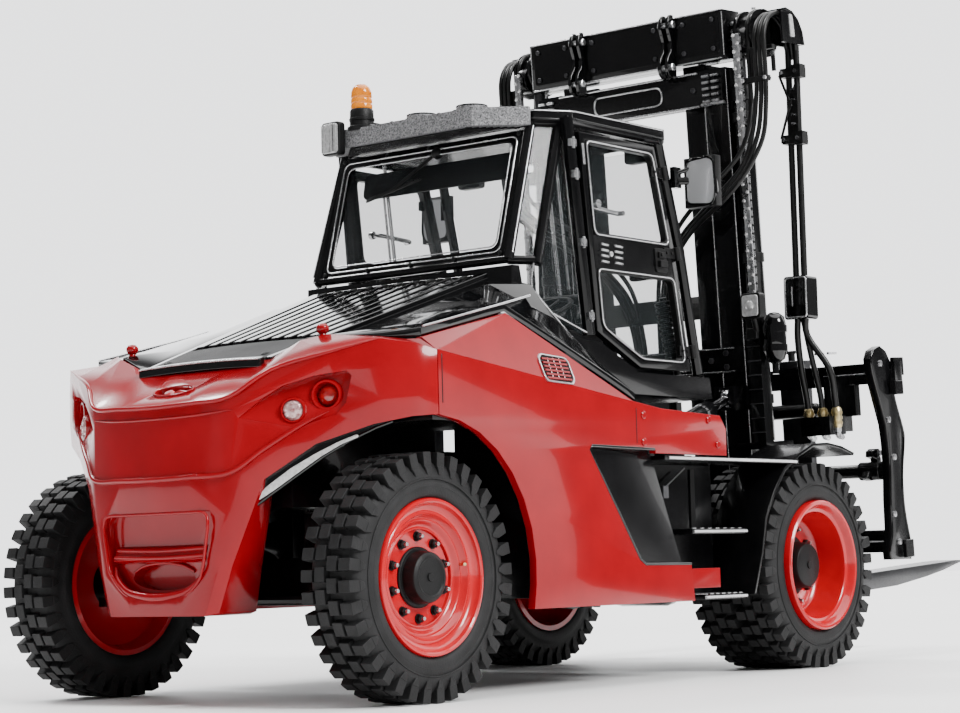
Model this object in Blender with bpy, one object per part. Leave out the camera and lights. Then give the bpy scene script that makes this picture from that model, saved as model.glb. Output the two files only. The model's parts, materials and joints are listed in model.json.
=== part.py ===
"""Scale model of a heavy counterbalance forklift truck, built as an assembly.

Driving dimensions are in millimetres in the truck's own frame: +X is the
truck's right, +Y points forward to the forks, +Z is up, the ground is z = 0
and y = 0 is the steer axle. DATUM_Y shifts that frame so that the model's
footprint is centred on the origin. Meshes are written in metres.
"""

import bpy
import bmesh
import math
from mathutils import Vector

MM = 0.001
DATUM_Y = -198.005

# wheels
TYRE_RADIUS = 41.5
TYRE_SIDES = 24
TYRE_CORNER_RADIUS = TYRE_RADIUS / math.cos(math.pi / TYRE_SIDES)
TYRE_BEAD_RADIUS = 26.85
RIM_RADIUS = 26.2
WHEEL_Z = 41.5
STEER_TYRE_X = (63.0, 84.5)
DRIVE_OUTER_TYRE_X = (70.2, 88.0)
DRIVE_INNER_TYRE_X = (51.0, 68.9)
WHEELBASE = 238.5
DRIVE_Y = WHEELBASE

# steering
KINGPIN_X = 56.0
SWING_AXIS_Z = 54.0
STEER_ARM = 14.0
STEER_PIN_RADIUS = 1.2
STEER_SLOT_HALF = 1.55

# body
BODY_HALF = 88.0
PANEL_THICK = 3.0
PANEL_BOTTOM = 29.5
ARCH_RADIUS_TOP = 53.5
ARCH_RADIUS_BOTTOM = 50.2
CAB_HALF = 60.0
CAB_TAPER_Y = 122.0
CAB_TAPER = 0.235
CAB_BAR_RADIUS = 2.2
ROOF_TOP = 217.0

# mast: its own frame is (x, v forward, s up along the rails)
MAST_FOOT = (261.0, 40.0)
MAST_LEAN = math.radians(3.5)
RAIL_OUT = (38.0, 49.0)
RAIL_IN = (27.0, 37.4)
MAST_LENGTH = 214.0
LIFT_CYLINDER_X = 53.6
LIFT_CYLINDER_V = -3.0
LIFT_ROD_RADIUS = 2.6
CHAIN_X = 58.5
HOSE_X = 68.2
HOSE_Y = 263.6
HOSE_TOP = 262.0
FORK_X = 40.0
FORK_HALF = 7.0

# tilt cylinders
TILT_X = 45.0
TILT_REAR = (196.0, 96.0)
TILT_LUG = (241.0, 112.0)
TILT_PIN_RADIUS = 1.8

SIDES = (("right", 1.0), ("left", -1.0))


def clear_scene():
    for obj in list(bpy.data.objects):
        bpy.data.objects.remove(obj, do_unlink=True)


def material(name, colour, roughness, metallic):
    mat = bpy.data.materials.new(name)
    mat.use_nodes = True
    shader = mat.node_tree.nodes["Principled BSDF"]
    shader.inputs["Base Color"].default_value = (colour[0], colour[1], colour[2], 1.0)
    shader.inputs["Roughness"].default_value = roughness
    shader.inputs["Metallic"].default_value = metallic
    mat.diffuse_color = (colour[0], colour[1], colour[2], 1.0)
    return mat


# ---------------------------------------------------------------- geometry
# A body is a pair (vertices, faces) in truck millimetres.

def box(lo, hi):
    verts = [(x, y, z) for x in (lo[0], hi[0]) for y in (lo[1], hi[1]) for z in (lo[2], hi[2])]
    faces = [(0, 1, 3, 2), (4, 6, 7, 5), (0, 4, 5, 1), (2, 3, 7, 6), (0, 2, 6, 4), (1, 5, 7, 3)]
    return verts, faces


def side_box(side, x0, x1, y0, y1, z0, z1):
    a, b = sorted((side * x0, side * x1))
    return box((a, y0, z0), (b, y1, z1))


def prism_x(outline, x0, x1):
    """Outline in (y, z), run from x0 to x1."""
    n = len(outline)
    verts = [(x0, y, z) for y, z in outline] + [(x1, y, z) for y, z in outline]
    faces = [tuple(range(n)), tuple(range(2 * n - 1, n - 1, -1))]
    faces += [(i, (i + 1) % n, n + (i + 1) % n, n + i) for i in range(n)]
    return verts, faces


def prism_y(outline, y0, y1):
    """Outline in (x, z), run from y0 to y1."""
    verts, faces = prism_x(outline, y0, y1)
    return [(a, y, b) for y, a, b in verts], faces


def prism_z(outline, z0, z1):
    """Outline in (x, y), run from z0 to z1."""
    verts, faces = prism_x(outline, z0, z1)
    return [(a, b, z) for z, a, b in verts], faces


def lathe_x(profile, centre, sides, side=1.0, phase=0.0):
    """Closed profile of (x, radius) turned about an X line through centre (y, z).

    A profile that begins and ends on radius 0 is closed by its two poles.
    """
    caps = []
    if profile[0][1] == 0.0:
        for end, inner in ((0, 1), (-1, -2)):
            flat = profile[end][0] == profile[inner][0]
            caps.append(flat)
        profile = profile[1 if caps[0] else 0:len(profile) - (1 if caps[1] else 0)]
    verts = []
    rings = []
    for x, radius in profile:
        if radius == 0.0:
            rings.append([len(verts)])
            verts.append((side * x, centre[0], centre[1]))
            continue
        ring = []
        for k in range(sides):
            angle = phase + 2.0 * math.pi * k / sides
            ring.append(len(verts))
            verts.append((side * x, centre[0] + radius * math.sin(angle),
                          centre[1] - radius * math.cos(angle)))
        rings.append(ring)
    faces = []
    count = len(rings) - 1 if caps else len(rings)
    for i in range(count):
        a = rings[i]
        b = rings[(i + 1) % len(rings)]
        for k in range(sides):
            m = (k + 1) % sides
            if len(a) == 1:
                faces.append((a[0], b[m], b[k]))
            elif len(b) == 1:
                faces.append((a[k], a[m], b[0]))
            else:
                faces.append((a[k], a[m], b[m], b[k]))
    if caps and caps[0]:
        faces.append(tuple(rings[0][::-1]))
    if caps and caps[1]:
        faces.append(tuple(rings[-1]))
    return verts, faces


def rod(p0, p1, radius, sides=10):
    """Round bar from p0 to p1."""
    return tube([p0, p1], radius, sides)


def tube(points, radius, sides=8):
    """Round bar swept along points with mitred corners."""
    pts = [Vector(p) for p in points]
    dirs = [(pts[i + 1] - pts[i]).normalized() for i in range(len(pts) - 1)]
    up = Vector((0.0, 0.0, 1.0))
    if abs(dirs[0].dot(up)) > 0.9:
        up = Vector((0.0, 1.0, 0.0))
    normal = (up - dirs[0] * up.dot(dirs[0])).normalized()
    verts = []
    for i, p in enumerate(pts):
        before = dirs[max(i - 1, 0)]
        after = dirs[min(i, len(dirs) - 1)]
        cut = (before + after).normalized()
        binormal = before.cross(normal).normalized()
        for k in range(sides):
            angle = 2.0 * math.pi * (k + 0.5) / sides
            q = p + (normal * math.cos(angle) + binormal * math.sin(angle)) * radius
            q = q - before * ((q - p).dot(cut) / before.dot(cut))
            verts.append(tuple(q))
        normal = (normal - after * normal.dot(after)).normalized()
    faces = [tuple(range(sides - 1, -1, -1))]
    last = (len(pts) - 1) * sides
    faces.append(tuple(last + k for k in range(sides)))
    for i in range(len(pts) - 1):
        a = i * sides
        for k in range(sides):
            m = (k + 1) % sides
            faces.append((a + k, a + m, a + sides + m, a + sides + k))
    return verts, faces


def lattice(front, back, cells):
    """Closed body of hexahedral cells between two grids of points.

    front and back map (row, column) to a point. A cell is named by its lowest
    row and column. Faces that two cells share are left out.
    """
    keys = sorted(set((r + i, c + j) for r, c in cells for i in (0, 1) for j in (0, 1)))
    index = {}
    verts = []
    for layer, grid in enumerate((front, back)):
        for key in keys:
            index[(layer,) + key] = len(verts)
            verts.append(tuple(grid[key]))
    seen = {}
    for r, c in cells:
        q = [(r, c), (r + 1, c), (r + 1, c + 1), (r, c + 1)]
        f = [index[(0,) + k] for k in q]
        b = [index[(1,) + k] for k in q]
        for face in ([f[0], f[1], f[2], f[3]], [b[3], b[2], b[1], b[0]],
                     [f[1], f[0], b[0], b[1]], [f[2], f[1], b[1], b[2]],
                     [f[3], f[2], b[2], b[3]], [f[0], f[3], b[3], b[0]]):
            seen.setdefault(tuple(sorted(face)), []).append(tuple(face))
    faces = [group[0] for group in seen.values() if len(group) == 1]
    return verts, faces


def mapped(body, function):
    return [tuple(function(p)) for p in body[0]], body[1]


def mirrored(body, side):
    return [(side * x, y, z) for x, y, z in body[0]], body[1]


def on_mast(p):
    """Mast frame (x, v, s) to truck frame (x, y, z)."""
    x, v, s = p
    c = math.cos(MAST_LEAN)
    d = math.sin(MAST_LEAN)
    return (x, MAST_FOOT[0] + v * c - s * d, MAST_FOOT[1] + s * c + v * d)


def to_mast(point):
    """Truck frame (y, z) to mast frame (v, s)."""
    dy = point[0] - MAST_FOOT[0]
    dz = point[1] - MAST_FOOT[1]
    c = math.cos(MAST_LEAN)
    d = math.sin(MAST_LEAN)
    return (dy * c + dz * d, dz * c - dy * d)


def on_tilt(p):
    """Tilt cylinder frame (x, across, t along) to truck frame."""
    x, n, t = p
    dy = TILT_LUG[0] - TILT_REAR[0]
    dz = TILT_LUG[1] - TILT_REAR[1]
    length = math.hypot(dy, dz)
    c = dy / length
    d = dz / length
    return (x, TILT_REAR[0] + t * c - n * d, TILT_REAR[1] + t * d + n * c)


def disc_s(profile, centre, sides, phase=0.0):
    """Closed profile of (s, radius) turned about a line parallel to s."""
    verts, faces = lathe_x(profile, (0.0, 0.0), sides, 1.0, phase)
    return [(centre[0] + y, centre[1] + z, x) for x, y, z in verts], faces


# ---------------------------------------------------------------- objects

def mesh_object(name, body):
    mesh = bpy.data.meshes.new(name)
    mesh.from_pydata([tuple(p) for p in body[0]], [], body[1])
    bm = bmesh.new()
    bm.from_mesh(mesh)
    bmesh.ops.recalc_face_normals(bm, faces=bm.faces)
    bm.to_mesh(mesh)
    bm.free()
    obj = bpy.data.objects.new(name, mesh)
    bpy.context.scene.collection.objects.link(obj)
    return obj


def combine(name, bodies, cuts):
    """One solid: the union of bodies less the cuts."""
    base = mesh_object(name, bodies[0])
    helpers = []
    for kind, group in (("UNION", bodies[1:]), ("DIFFERENCE", cuts)):
        for i, body in enumerate(group):
            helper = mesh_object("%s_%s_%d" % (name, kind.lower(), i), body)
            helpers.append(helper)
            step = base.modifiers.new(kind.lower(), "BOOLEAN")
            step.operation = kind
            step.solver = "EXACT"
            step.object = helper
    bpy.context.view_layer.update()
    graph = bpy.context.evaluated_depsgraph_get()
    mesh = bpy.data.meshes.new_from_object(base.evaluated_get(graph))
    old = base.data
    base.modifiers.clear()
    base.data = mesh
    mesh.name = name
    bpy.data.meshes.remove(old)
    for helper in helpers:
        data = helper.data
        bpy.data.objects.remove(helper, do_unlink=True)
        bpy.data.meshes.remove(data)
    return base


def solid(name, bodies, mat, pivot=(0.0, 0.0, 0.0), cuts=(), smooth=35.0):
    """Named object in metres, its origin on pivot (truck millimetres)."""
    if len(bodies) > 1 or cuts:
        obj = combine(name, list(bodies), list(cuts))
    else:
        obj = mesh_object(name, bodies[0])
    mesh = obj.data
    for vertex in mesh.vertices:
        vertex.co = (vertex.co - Vector(pivot)) * MM
    bm = bmesh.new()
    bm.from_mesh(mesh)
    bmesh.ops.remove_doubles(bm, verts=bm.verts, dist=0.000002)
    bmesh.ops.dissolve_degenerate(bm, edges=bm.edges, dist=0.000002)
    bmesh.ops.recalc_face_normals(bm, faces=bm.faces)
    bm.to_mesh(mesh)
    bm.free()
    obj.location = (pivot[0] * MM, (pivot[1] + DATUM_Y) * MM, pivot[2] * MM)
    mesh.materials.clear()
    mesh.materials.append(mat)
    mesh.shade_smooth()
    mesh.set_sharp_from_angle(angle=math.radians(smooth))
    return obj


# ---------------------------------------------------------------- chassis

def build_chassis(mats):
    pin = [(-14.5, 0.0), (-14.5, 3.0), (14.5, 3.0), (14.5, 0.0)]
    swing_pin = lathe_x(pin, (0.0, 0.0), 16)
    swing_pin = [(y, x, SWING_AXIS_Z + z) for x, y, z in swing_pin[0]], swing_pin[1]
    bodies = [
        box((-44.0, 56.0, 36.0), (44.0, 219.5, 86.0)),
        box((-38.0, -18.0, 66.0), (38.0, 57.0, 96.0)),
        box((-10.0, -17.0, 47.0), (10.0, -11.0, 67.0)),
        box((-10.0, 11.0, 47.0), (10.0, 17.0, 67.0)),
        swing_pin,
    ]
    for side in (1.0, -1.0):
        bodies.append(side_box(side, 20.0, 32.0, 219.0, 238.0, 55.2, 86.0))
        bodies.append(side_box(side, 37.0, 84.4, 1.0, 57.0, 93.6, 96.2))
        bodies.append(side_box(side, 40.0, 50.0, 188.0, 204.0, 82.4, 87.0))
        for x0, x1 in ((40.2, 42.8), (47.2, 49.8)):
            ear = [(191.5, 86.0), (199.5, 86.0), (199.5, 98.0), (198.0, 100.0),
                   (193.5, 100.0), (191.5, 98.0)]
            bodies.append(prism_x(ear, side * x0, side * x1))
        shaft = [(40.2, 0.0), (40.2, TILT_PIN_RADIUS), (49.8, TILT_PIN_RADIUS), (49.8, 0.0)]
        bodies.append(lathe_x(shaft, TILT_REAR, 12, side))
    solid("chassis_frame", bodies, mats["black_paint"])

    engine = [
        box((-24.0, -8.0, 96.6), (24.0, 40.0, 111.0)),
        box((-20.0, 0.0, 110.0), (20.0, 38.0, 117.5)),
        box((-28.0, 58.0, 86.6), (28.0, 74.0, 124.0)),
        box((-22.0, 38.0, 99.0), (22.0, 60.0, 110.0)),
    ]
    solid("engine_block", engine, mats["grey_metal"])

    housing = [(-68.0, 0.0), (-68.0, 7.0), (-48.6, 7.0), (-48.6, 13.0), (-17.0, 13.0),
               (-12.0, 16.0), (12.0, 16.0), (17.0, 13.0), (48.6, 13.0), (48.6, 7.0),
               (68.0, 7.0), (68.0, 0.0)]
    solid("drive_axle", [lathe_x(housing, (DRIVE_Y, WHEEL_Z), 20)], mats["black_paint"])


# Right half of the counterweight skin, row by row from the ridge beside the
# hood down to the foot, column by column from the middle to the side seam.
TAIL_FRONT = [
    [(0, -20.5, 116.3), (16, -20.5, 116.3), (31.3, -20.5, 116.5), (44.5, -19.5, 122),
     (52, -14.2, 123.8), (66, -4.5, 122.6), (76, -1.5, 121), (80.5, 0, 120.9)],
    [(0, -46, 101), (18, -45.2, 101.5), (33, -42.5, 102.8), (45.5, -34.5, 111.5),
     (62, -24.5, 116.5), (76.3, -15.7, 120.4), (84.6, -7, 118.8), (88, 0, 116.6)],
    [(0, -45.8, 97), (18, -45, 97.3), (34, -41.8, 98.5), (45, -35.3, 104.5),
     (62, -25, 108.5), (76.8, -15.7, 111), (85.2, -6.5, 110), (88, 0, 109.5)],
    [(0, -46, 76.5), (17, -45.5, 76.8), (33, -42.5, 77.6), (43, -37, 84.7),
     (60, -26.5, 96), (76.8, -15.7, 100.5), (85.3, -6.5, 101.5), (88, 0, 102)],
    [(0, -46.3, 62), (17, -46, 62), (31.5, -43, 64), (43, -36.8, 75),
     (58, -27.4, 86.2), (74.5, -17, 92.2), (83.5, -8, 94.5), (88, 0, 95.2)],
    [(0, -46.3, 44), (15, -46, 44), (28, -44, 45), (32.5, -41.5, 47)],
    [(0, -45.7, 30.5), (12, -45.6, 30.5), (23, -45, 30.5), (27, -42.5, 31.5)],
]
TAIL_BACK = [
    [(0, -20.7, 110), (15, -20.7, 110), (30, -20.7, 110.5), (41.5, -19.9, 115),
     (50, -15.8, 118), (64, -6.4, 117), (74, -2.6, 116), (78, -0.3, 115.5)],
    [(0, -19, 98), (14, -19, 98), (28, -19, 99), (38.5, -19, 106),
     (50, -13, 110), (66, -6, 111), (76, -2.5, 111), (80, 0, 110.5)],
    [(0, -19, 90), (14, -19, 90), (28, -19, 92), (38.5, -19, 98),
     (50, -13.5, 102), (66, -6.5, 105), (76, -2.5, 105), (80, 0, 105)],
    [(0, -19, 76.5), (14, -19, 76.5), (28, -19, 78), (38, -20, 86),
     (50, -14.5, 96), (66, -7, 99), (76, -2.7, 100), (80, 0, 100)],
    [(0, -22, 62), (14, -22, 62), (26, -22, 64), (33, -21, 77),
     (50, -16, 90), (66, -8, 94.2), (77, -3, 95.5), (80, 0, 95.8)],
    [(0, -22, 44), (13, -22, 44), (24, -22, 45), (28, -23, 47)],
    [(0, -22, 30.5), (11, -22, 30.5), (21, -22, 30.5), (25, -23, 31.5)],
]
TAIL_SNOUT_COLUMNS = 4


def tail_grid(rows):
    """Mirror the right half to columns -7..7."""
    grid = {}
    for r, row in enumerate(rows):
        for c, (x, y, z) in enumerate(row):
            grid[(r, c)] = (float(x), float(y), float(z))
            grid[(r, -c)] = (-float(x), float(y), float(z))
    return grid


def build_counterweight(mats):
    cells = []
    for r in range(len(TAIL_FRONT) - 1):
        reach = len(TAIL_FRONT[r + 1]) - 1
        cells += [(r, c) for c in range(-reach, reach)]
    body = lattice(tail_grid(TAIL_FRONT), tail_grid(TAIL_BACK), cells)
    mouth = [(-21.0, 44.0), (21.0, 44.0), (26.5, 60.0), (25.0, 65.5), (-25.0, 65.5), (-26.5, 60.0)]
    obj = solid("counterweight", [body], mats["red_paint"],
                cuts=[prism_y(mouth, -60.0, -43.0)], smooth=22.0)
    return obj


def arch_point(angle):
    """Point on the steer wheel arch, angle from straight up toward the front."""
    share = min(abs(angle) / math.radians(103.0), 1.0)
    radius = ARCH_RADIUS_TOP + (ARCH_RADIUS_BOTTOM - ARCH_RADIUS_TOP) * share
    return (radius * math.sin(angle), WHEEL_Z + radius * math.cos(angle))


def panel_top(y):
    """Height of the side panel's upper edge."""
    if y <= 47.0:
        return 121.3 + 0.24 * y
    return 132.6 - (y - 47.0) * (132.6 - 103.3) / 66.4


def build_side_panel(name, side, mats):
    arch = [arch_point(math.radians(a)) for a in (2, 12, 24, 36, 48, 60, 72, 84, 94)]
    outline = [(0.4, 95.2)] + arch + [
        (49.0, PANEL_BOTTOM), (147.3, PANEL_BOTTOM), (145.5, 43.5), (116.0, 43.8),
        (112.5, 45.6), (83.4, 85.2), (84.6, 86.8), (124.0, 86.2), (124.5, 84.6),
        (172.0, 84.6), (172.0, 99.8), (129.0, 101.4), (113.4, 103.2), (0.4, 116.8)]
    plate = prism_x(outline, side * (BODY_HALF - PANEL_THICK), side * BODY_HALF)
    top_rear = (81.0, 0.4, panel_top(0.4))
    top_peak = (80.0, 47.0, panel_top(47.0))
    crease_rear = (88.0, 0.4, 116.4)
    crease_front = (88.0, 113.0, 102.6)
    outer = [crease_rear, crease_front, top_peak, top_rear]
    inner = [(x - 2.6, y, z) for x, y, z in outer]
    verts = outer + inner
    faces = [(0, 1, 2), (0, 2, 3), (4, 6, 5), (4, 7, 6),
             (0, 4, 5, 1), (1, 5, 6, 2), (2, 6, 7, 3), (3, 7, 4, 0)]
    facet = mirrored((verts, faces), side)
    block = side_box(side, 83.5, 87.2, 146.0, 166.0, 34.2, 41.6)
    solid(name, [plate, facet, block], mats["red_paint"], smooth=20.0)


def build_deck(name, side, mats):
    """Black shoulder between the side panel, the hood and the cab."""
    def top(*row):
        return [None if p is None else (float(p[0]), float(p[1]), float(p[2])) for p in row]
    rows = [
        top((33.2, -19.0, 117.2), (45.2, -17.9, 122.8), (66.4, -3.0, 123.8), (80.2, 1.3, 124.8)),
        top((35.6, 10, 125.4), (47, 10, 127), (66, 10, 127.6), (80.1, 10, 126.9)),
        top((38, 28, 131.8), (49, 28, 133), (66, 28, 132.6), (79.8, 28, 131.2)),
        top((40.4, 47, 138.5), (51, 47, 139.4), (66, 47, 138), (79.6, 47, 135.8)),
        top((43.2, 70, 146.3), (54, 70, 147), (67, 70, 138.5), (82.6, 70, panel_top(70) + 3.2)),
        top((45.2, 85.8, 151.4), (61, 85.8, 147.5), (71, 85.8, 134.5),
            (84.6, 85.8, panel_top(85.8) + 3.2)),
        top(None, (61, 104, 134), (72.5, 104, 122), (86.8, 104, panel_top(104) + 3.2)),
        top(None, (61, 113, 126), (74, 113, 115), (87.6, 113, panel_top(113) + 3.2)),
    ]
    front = {}
    back = {}
    for r, row in enumerate(rows):
        for c, p in enumerate(row):
            if p is None:
                continue
            front[(r, c)] = (side * p[0], p[1], p[2])
            drop = 2.7 if c == 3 else 3.0
            back[(r, c)] = (side * (p[0] + (0.0 if c < 3 else -0.2)), p[1], p[2] - drop)
    cells = [(r, c) for r in range(5) for c in range(3)]
    cells += [(r, c) for r in (5, 6) for c in (1, 2)]
    solid(name, [lattice(front, back, cells)], mats["gloss_black"], smooth=25.0)


# Side view (y, z) of the mudguard over a drive wheel, front end first.
FENDER_PATH = [(268.0, 87.6), (258.0, 90.2), (247.0, 91.4), (235.5, 90.8), (224.0, 86.6),
               (213.0, 80.4), (205.0, 72.0), (197.6, 61.0), (194.0, 47.0), (187.6, 31.0)]
FENDER_THICK = 1.4


def arch_sheet(path, thick):
    """Thin strip following a path, thickened towards the drive wheel."""
    inner = []
    for y, z in path:
        inward = Vector((DRIVE_Y - y, WHEEL_Z - z)).normalized()
        inner.append((y + inward.x * thick, z + inward.y * thick))
    return path + inner[::-1]


def build_body_sides(mats):
    for word, side in SIDES:
        build_side_panel("side_panel_" + word, side, mats)
        build_deck("shoulder_deck_" + word, side, mats)
        backing = [(58.0, 33.0), (146.0, 33.0), (144.0, 44.0), (127.0, 82.0), (123.5, 86.0),
                   (123.5, 98.0), (58.0, 98.0)]
        bodies = [
            prism_x(backing, side * 46.0, side * 84.6),
            side_box(side, 46.0, 70.0, 120.0, 187.4, 36.0, 81.8),
            side_box(side, 69.0, 86.5, 149.0, 186.0, 54.6, 56.6),
            side_box(side, 69.0, 86.5, 156.0, 184.6, 29.6, 31.6),
            side_box(side, 69.0, 71.0, 156.0, 184.6, 30.0, 56.0),
        ]
        solid("tank_" + word, bodies, mats["black_paint"])
        sheet = prism_x(arch_sheet(FENDER_PATH, FENDER_THICK), side * 65.0, side * 88.5)
        board = side_box(side, 65.0, 88.4, 129.6, 224.0, 82.3, 83.9)
        foot = side_box(side, 65.0, 69.5, 134.0, 187.0, 82.0, 83.0)
        solid("fender_" + word, [sheet, board, foot], mats["black_paint"])


def hood_height(y):
    return 117.4 + 0.3466 * (y + 20.0)


def build_hood(mats):
    rows = [(-20.0, 31.4), (-5.0, 33.4), (30.0, 37.6), (60.0, 41.3), (82.5, 43.9)]
    front = {}
    back = {}
    for r, (y, half) in enumerate(rows):
        for c in range(-3, 4):
            x = half * c / 3.0
            crown = 0.8 * (1.0 - (c / 3.0) ** 2)
            front[(r, c)] = (x, y, hood_height(y) + crown)
            back[(r, c)] = (x, y, hood_height(y) - 3.4)
    cells = [(r, c) for r in range(len(rows) - 1) for c in range(-3, 3)]
    solid("engine_hood", [lattice(front, back, cells)], mats["black_paint"],
          pivot=(0.0, 84.5, 152.2), smooth=20.0)


# ---------------------------------------------------------------- cab

def bar(p0, p1, radius=CAB_BAR_RADIUS, sides=8):
    """Round bar with its ends run on by half its radius."""
    a = Vector(p0)
    b = Vector(p1)
    run = (b - a).normalized() * radius * 0.5
    return rod(tuple(a - run), tuple(b + run), radius, sides)


def cab_taper(p):
    """Draw the rear corners of the cab tub in towards the middle."""
    x, y, z = p
    inset = max(0.0, CAB_TAPER_Y - y) * CAB_TAPER
    return (x - math.copysign(inset, x), y, z)


def build_cab(mats):
    band_rear = [(87.0, 155.6), (86.6, 141.0), (111.0, 121.5), (122.0, 118.1), (122.0, 128.9),
                 (121.0, 128.9), (99.5, 138.0), (92.0, 147.0), (90.5, 155.6)]
    band = [(121.6, 118.3), (150.0, 109.5), (206.0, 109.5), (204.0, 118.0), (155.0, 118.0),
            (129.5, 128.9), (121.6, 128.9)]
    floor_rear = [(87.0, 155.6), (86.6, 141.0), (111.0, 121.5), (122.0, 118.1), (122.0, 120.9),
                  (112.0, 124.0), (89.0, 142.5), (89.4, 155.6)]
    floor = [(121.6, 118.3), (150.0, 109.5), (206.0, 109.5), (204.0, 118.0), (201.8, 118.0),
             (203.2, 112.0), (150.5, 112.0), (121.6, 121.0)]
    bodies = [
        prism_x(floor, 0.3 - CAB_HALF, CAB_HALF - 0.3),
        mapped(prism_x(floor_rear, 0.3 - CAB_HALF, CAB_HALF - 0.3), cab_taper),
    ]
    for side in (1.0, -1.0):
        bodies.append(prism_x(band, side * 57.4, side * CAB_HALF))
        rear = prism_x(band_rear, side * 57.4, side * CAB_HALF)
        bodies.append(mapped(rear, cab_taper))
    bodies.append(rod((0.0, 193.0, 111.0), (0.0, 177.4, 143.3), 2.0, 10))
    solid("cab_tub", bodies, mats["black_paint"])

    roof = [(-58.4, 118.6), (-49.6, 105.6), (49.6, 105.6), (58.4, 118.6), (58.4, 179.6),
            (-58.4, 179.6)]
    bodies = []
    for side in (1.0, -1.0):
        bodies += [
            bar((side * 55.0, 98.4, 157.5), (side * 52.8, 117.0, 212.6)),
            bar((side * 48.6, 89.6, 159.0), (side * 47.2, 107.0, 212.6), 2.0),
            bar((side * 48.6, 90.2, 158.0), (side * 55.0, 98.4, 157.8), 1.8),
            bar((side * 47.2, 107.2, 212.6), (side * 52.8, 117.0, 212.6)),
            bar((side * 58.6, 124.4, 132.2), (side * 57.2, 116.0, 212.6), 2.6),
            bar((side * 57.5, 199.0, 120.6), (side * 57.5, 188.8, 168.5)),
            bar((side * 57.5, 188.8, 168.5), (side * 56.5, 177.0, 212.6)),
            bar((side * 52.8, 117.0, 212.6), (side * 57.0, 117.4, 212.6)),
            bar((side * 57.0, 117.0, 212.6), (side * 56.5, 178.0, 212.6)),
        ]
    bodies += [
        bar((-47.4, 107.0, 212.6), (47.4, 107.0, 212.6)),
        bar((-57.5, 177.0, 212.6), (57.5, 177.0, 212.6)),
        bar((-48.8, 90.2, 158.6), (48.8, 90.2, 158.6), 1.8),
        prism_z(roof, 212.8, ROOF_TOP),
    ]
    solid("cab_frame", bodies, mats["black_paint"])

    sheet = [(91.6, 161.0), (105.4, 209.6), (106.4, 209.3), (92.6, 160.7)]
    glass = prism_x(sheet, -44.6, 44.6)
    solid("rear_window", [glass], mats["glass"])
    path = [(198.6, 121.2), (188.8, 168.5), (178.6, 209.6)]
    front = path + [(y + 1.0, z + 0.2) for y, z in path[::-1]]
    solid("front_window", [prism_x(front, -54.4, 54.4)], mats["glass"])

    seat = [(141.0, 115.8), (150.5, 112.8), (156.0, 112.6), (154.0, 126.0), (160.0, 126.5),
            (161.4, 130.0), (159.0, 134.0), (150.0, 135.0), (137.5, 133.6), (131.6, 158.0),
            (128.5, 160.0), (124.8, 158.0), (127.0, 132.0), (130.0, 126.5), (141.0, 126.0)]
    solid("driver_seat", [prism_x(seat, -17.0, 17.0)], mats["vinyl"], smooth=40.0)

    console = [
        box((25.0, 142.0, 115.0), (35.0, 166.0, 136.0)),
        box((24.0, 150.0, 135.0), (36.0, 168.0, 139.0)),
        rod((30.0, 163.0, 138.0), (30.0, 165.0, 148.0), 1.1, 8),
        rod((27.0, 157.0, 138.0), (27.0, 158.0, 145.0), 0.9, 8),
    ]
    solid("control_console", console, mats["black_plastic"])

    unit = [(-33.0, 88.8), (33.0, 88.8), (49.5, 102.6), (49.5, 103.8), (-49.5, 103.8),
            (-49.5, 102.6)]
    bodies = [prism_z(unit, 210.6, 217.6)]
    for x in (-27.0, 2.0, 27.0):
        fan = [(217.0, 0.0), (217.0, 6.4), (219.4, 6.0), (219.4, 0.0)]
        bodies.append(disc_s(fan, (x, 96.4), 16))
    solid("roof_unit", bodies, mats["speckled_grey"])

    lamp = [(219.9, 0.0), (219.9, 4.6), (223.0, 4.6), (223.4, 3.9), (233.5, 3.6),
            (235.6, 2.2), (236.0, 0.0)]
    solid("beacon", [disc_s(lamp, (-27.0, 93.6), 16)], mats["amber"])


def build_mirror(name, side, mats):
    housing = side_box(side, 62.0, 77.0, 187.6, 191.6, 185.4, 205.6)
    arm = rod((side * 60.4, 184.6, 197.0), (side * 64.0, 189.0, 197.0), 1.2, 8)
    solid(name, [housing, arm], mats["black_plastic"])


DOOR_OUTLINE = [(127.9, 132.6), (119.7, 208.6), (169.4, 208.6), (181.2, 168.5), (190.0, 119.9),
                (155.5, 119.9), (131.2, 130.9)]
DOOR_UPPER = [(123.4, 205.4), (167.0, 205.4), (176.9, 169.8), (127.3, 169.8)]
DOOR_LOWER = [(128.8, 156.6), (179.6, 156.6), (185.8, 123.3), (156.4, 123.3), (131.2, 134.4)]
DOOR_PANE = [(129.6, 133.6), (121.6, 207.0), (168.2, 207.0), (179.6, 168.5), (188.0, 121.6),
             (156.0, 121.6), (131.8, 132.5)]
DOOR_HINGE_LOW = (61.2, 192.6, 120.0)
DOOR_HINGE_HIGH = (61.2, 172.8, 208.0)


def build_door(word, side, mats):
    pivot = (side * DOOR_HINGE_LOW[0], DOOR_HINGE_LOW[1], DOOR_HINGE_LOW[2])
    frame = prism_x(DOOR_OUTLINE, side * 57.4, side * 60.4)
    cuts = [prism_x(DOOR_UPPER, side * 50.0, side * 70.0),
            prism_x(DOOR_LOWER, side * 50.0, side * 70.0)]
    solid("door_" + word, [frame], mats["black_paint"], pivot, cuts)
    pane = prism_x(DOOR_PANE, side * 56.0, side * 57.0)
    solid("door_glass_" + word, [pane], mats["glass"], pivot)


WIPER_PIVOT = (4.0, 102.9, 205.2)
WINDOW_UP = Vector((0.0, 14.0, 48.9)).normalized()
WINDOW_OUT = Vector((0.0, -48.9, 14.0)).normalized()


def on_window(x, up, out):
    base = Vector(WIPER_PIVOT) + Vector((x, 0.0, 0.0)) + WINDOW_UP * up + WINDOW_OUT * out
    return tuple(base)


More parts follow.
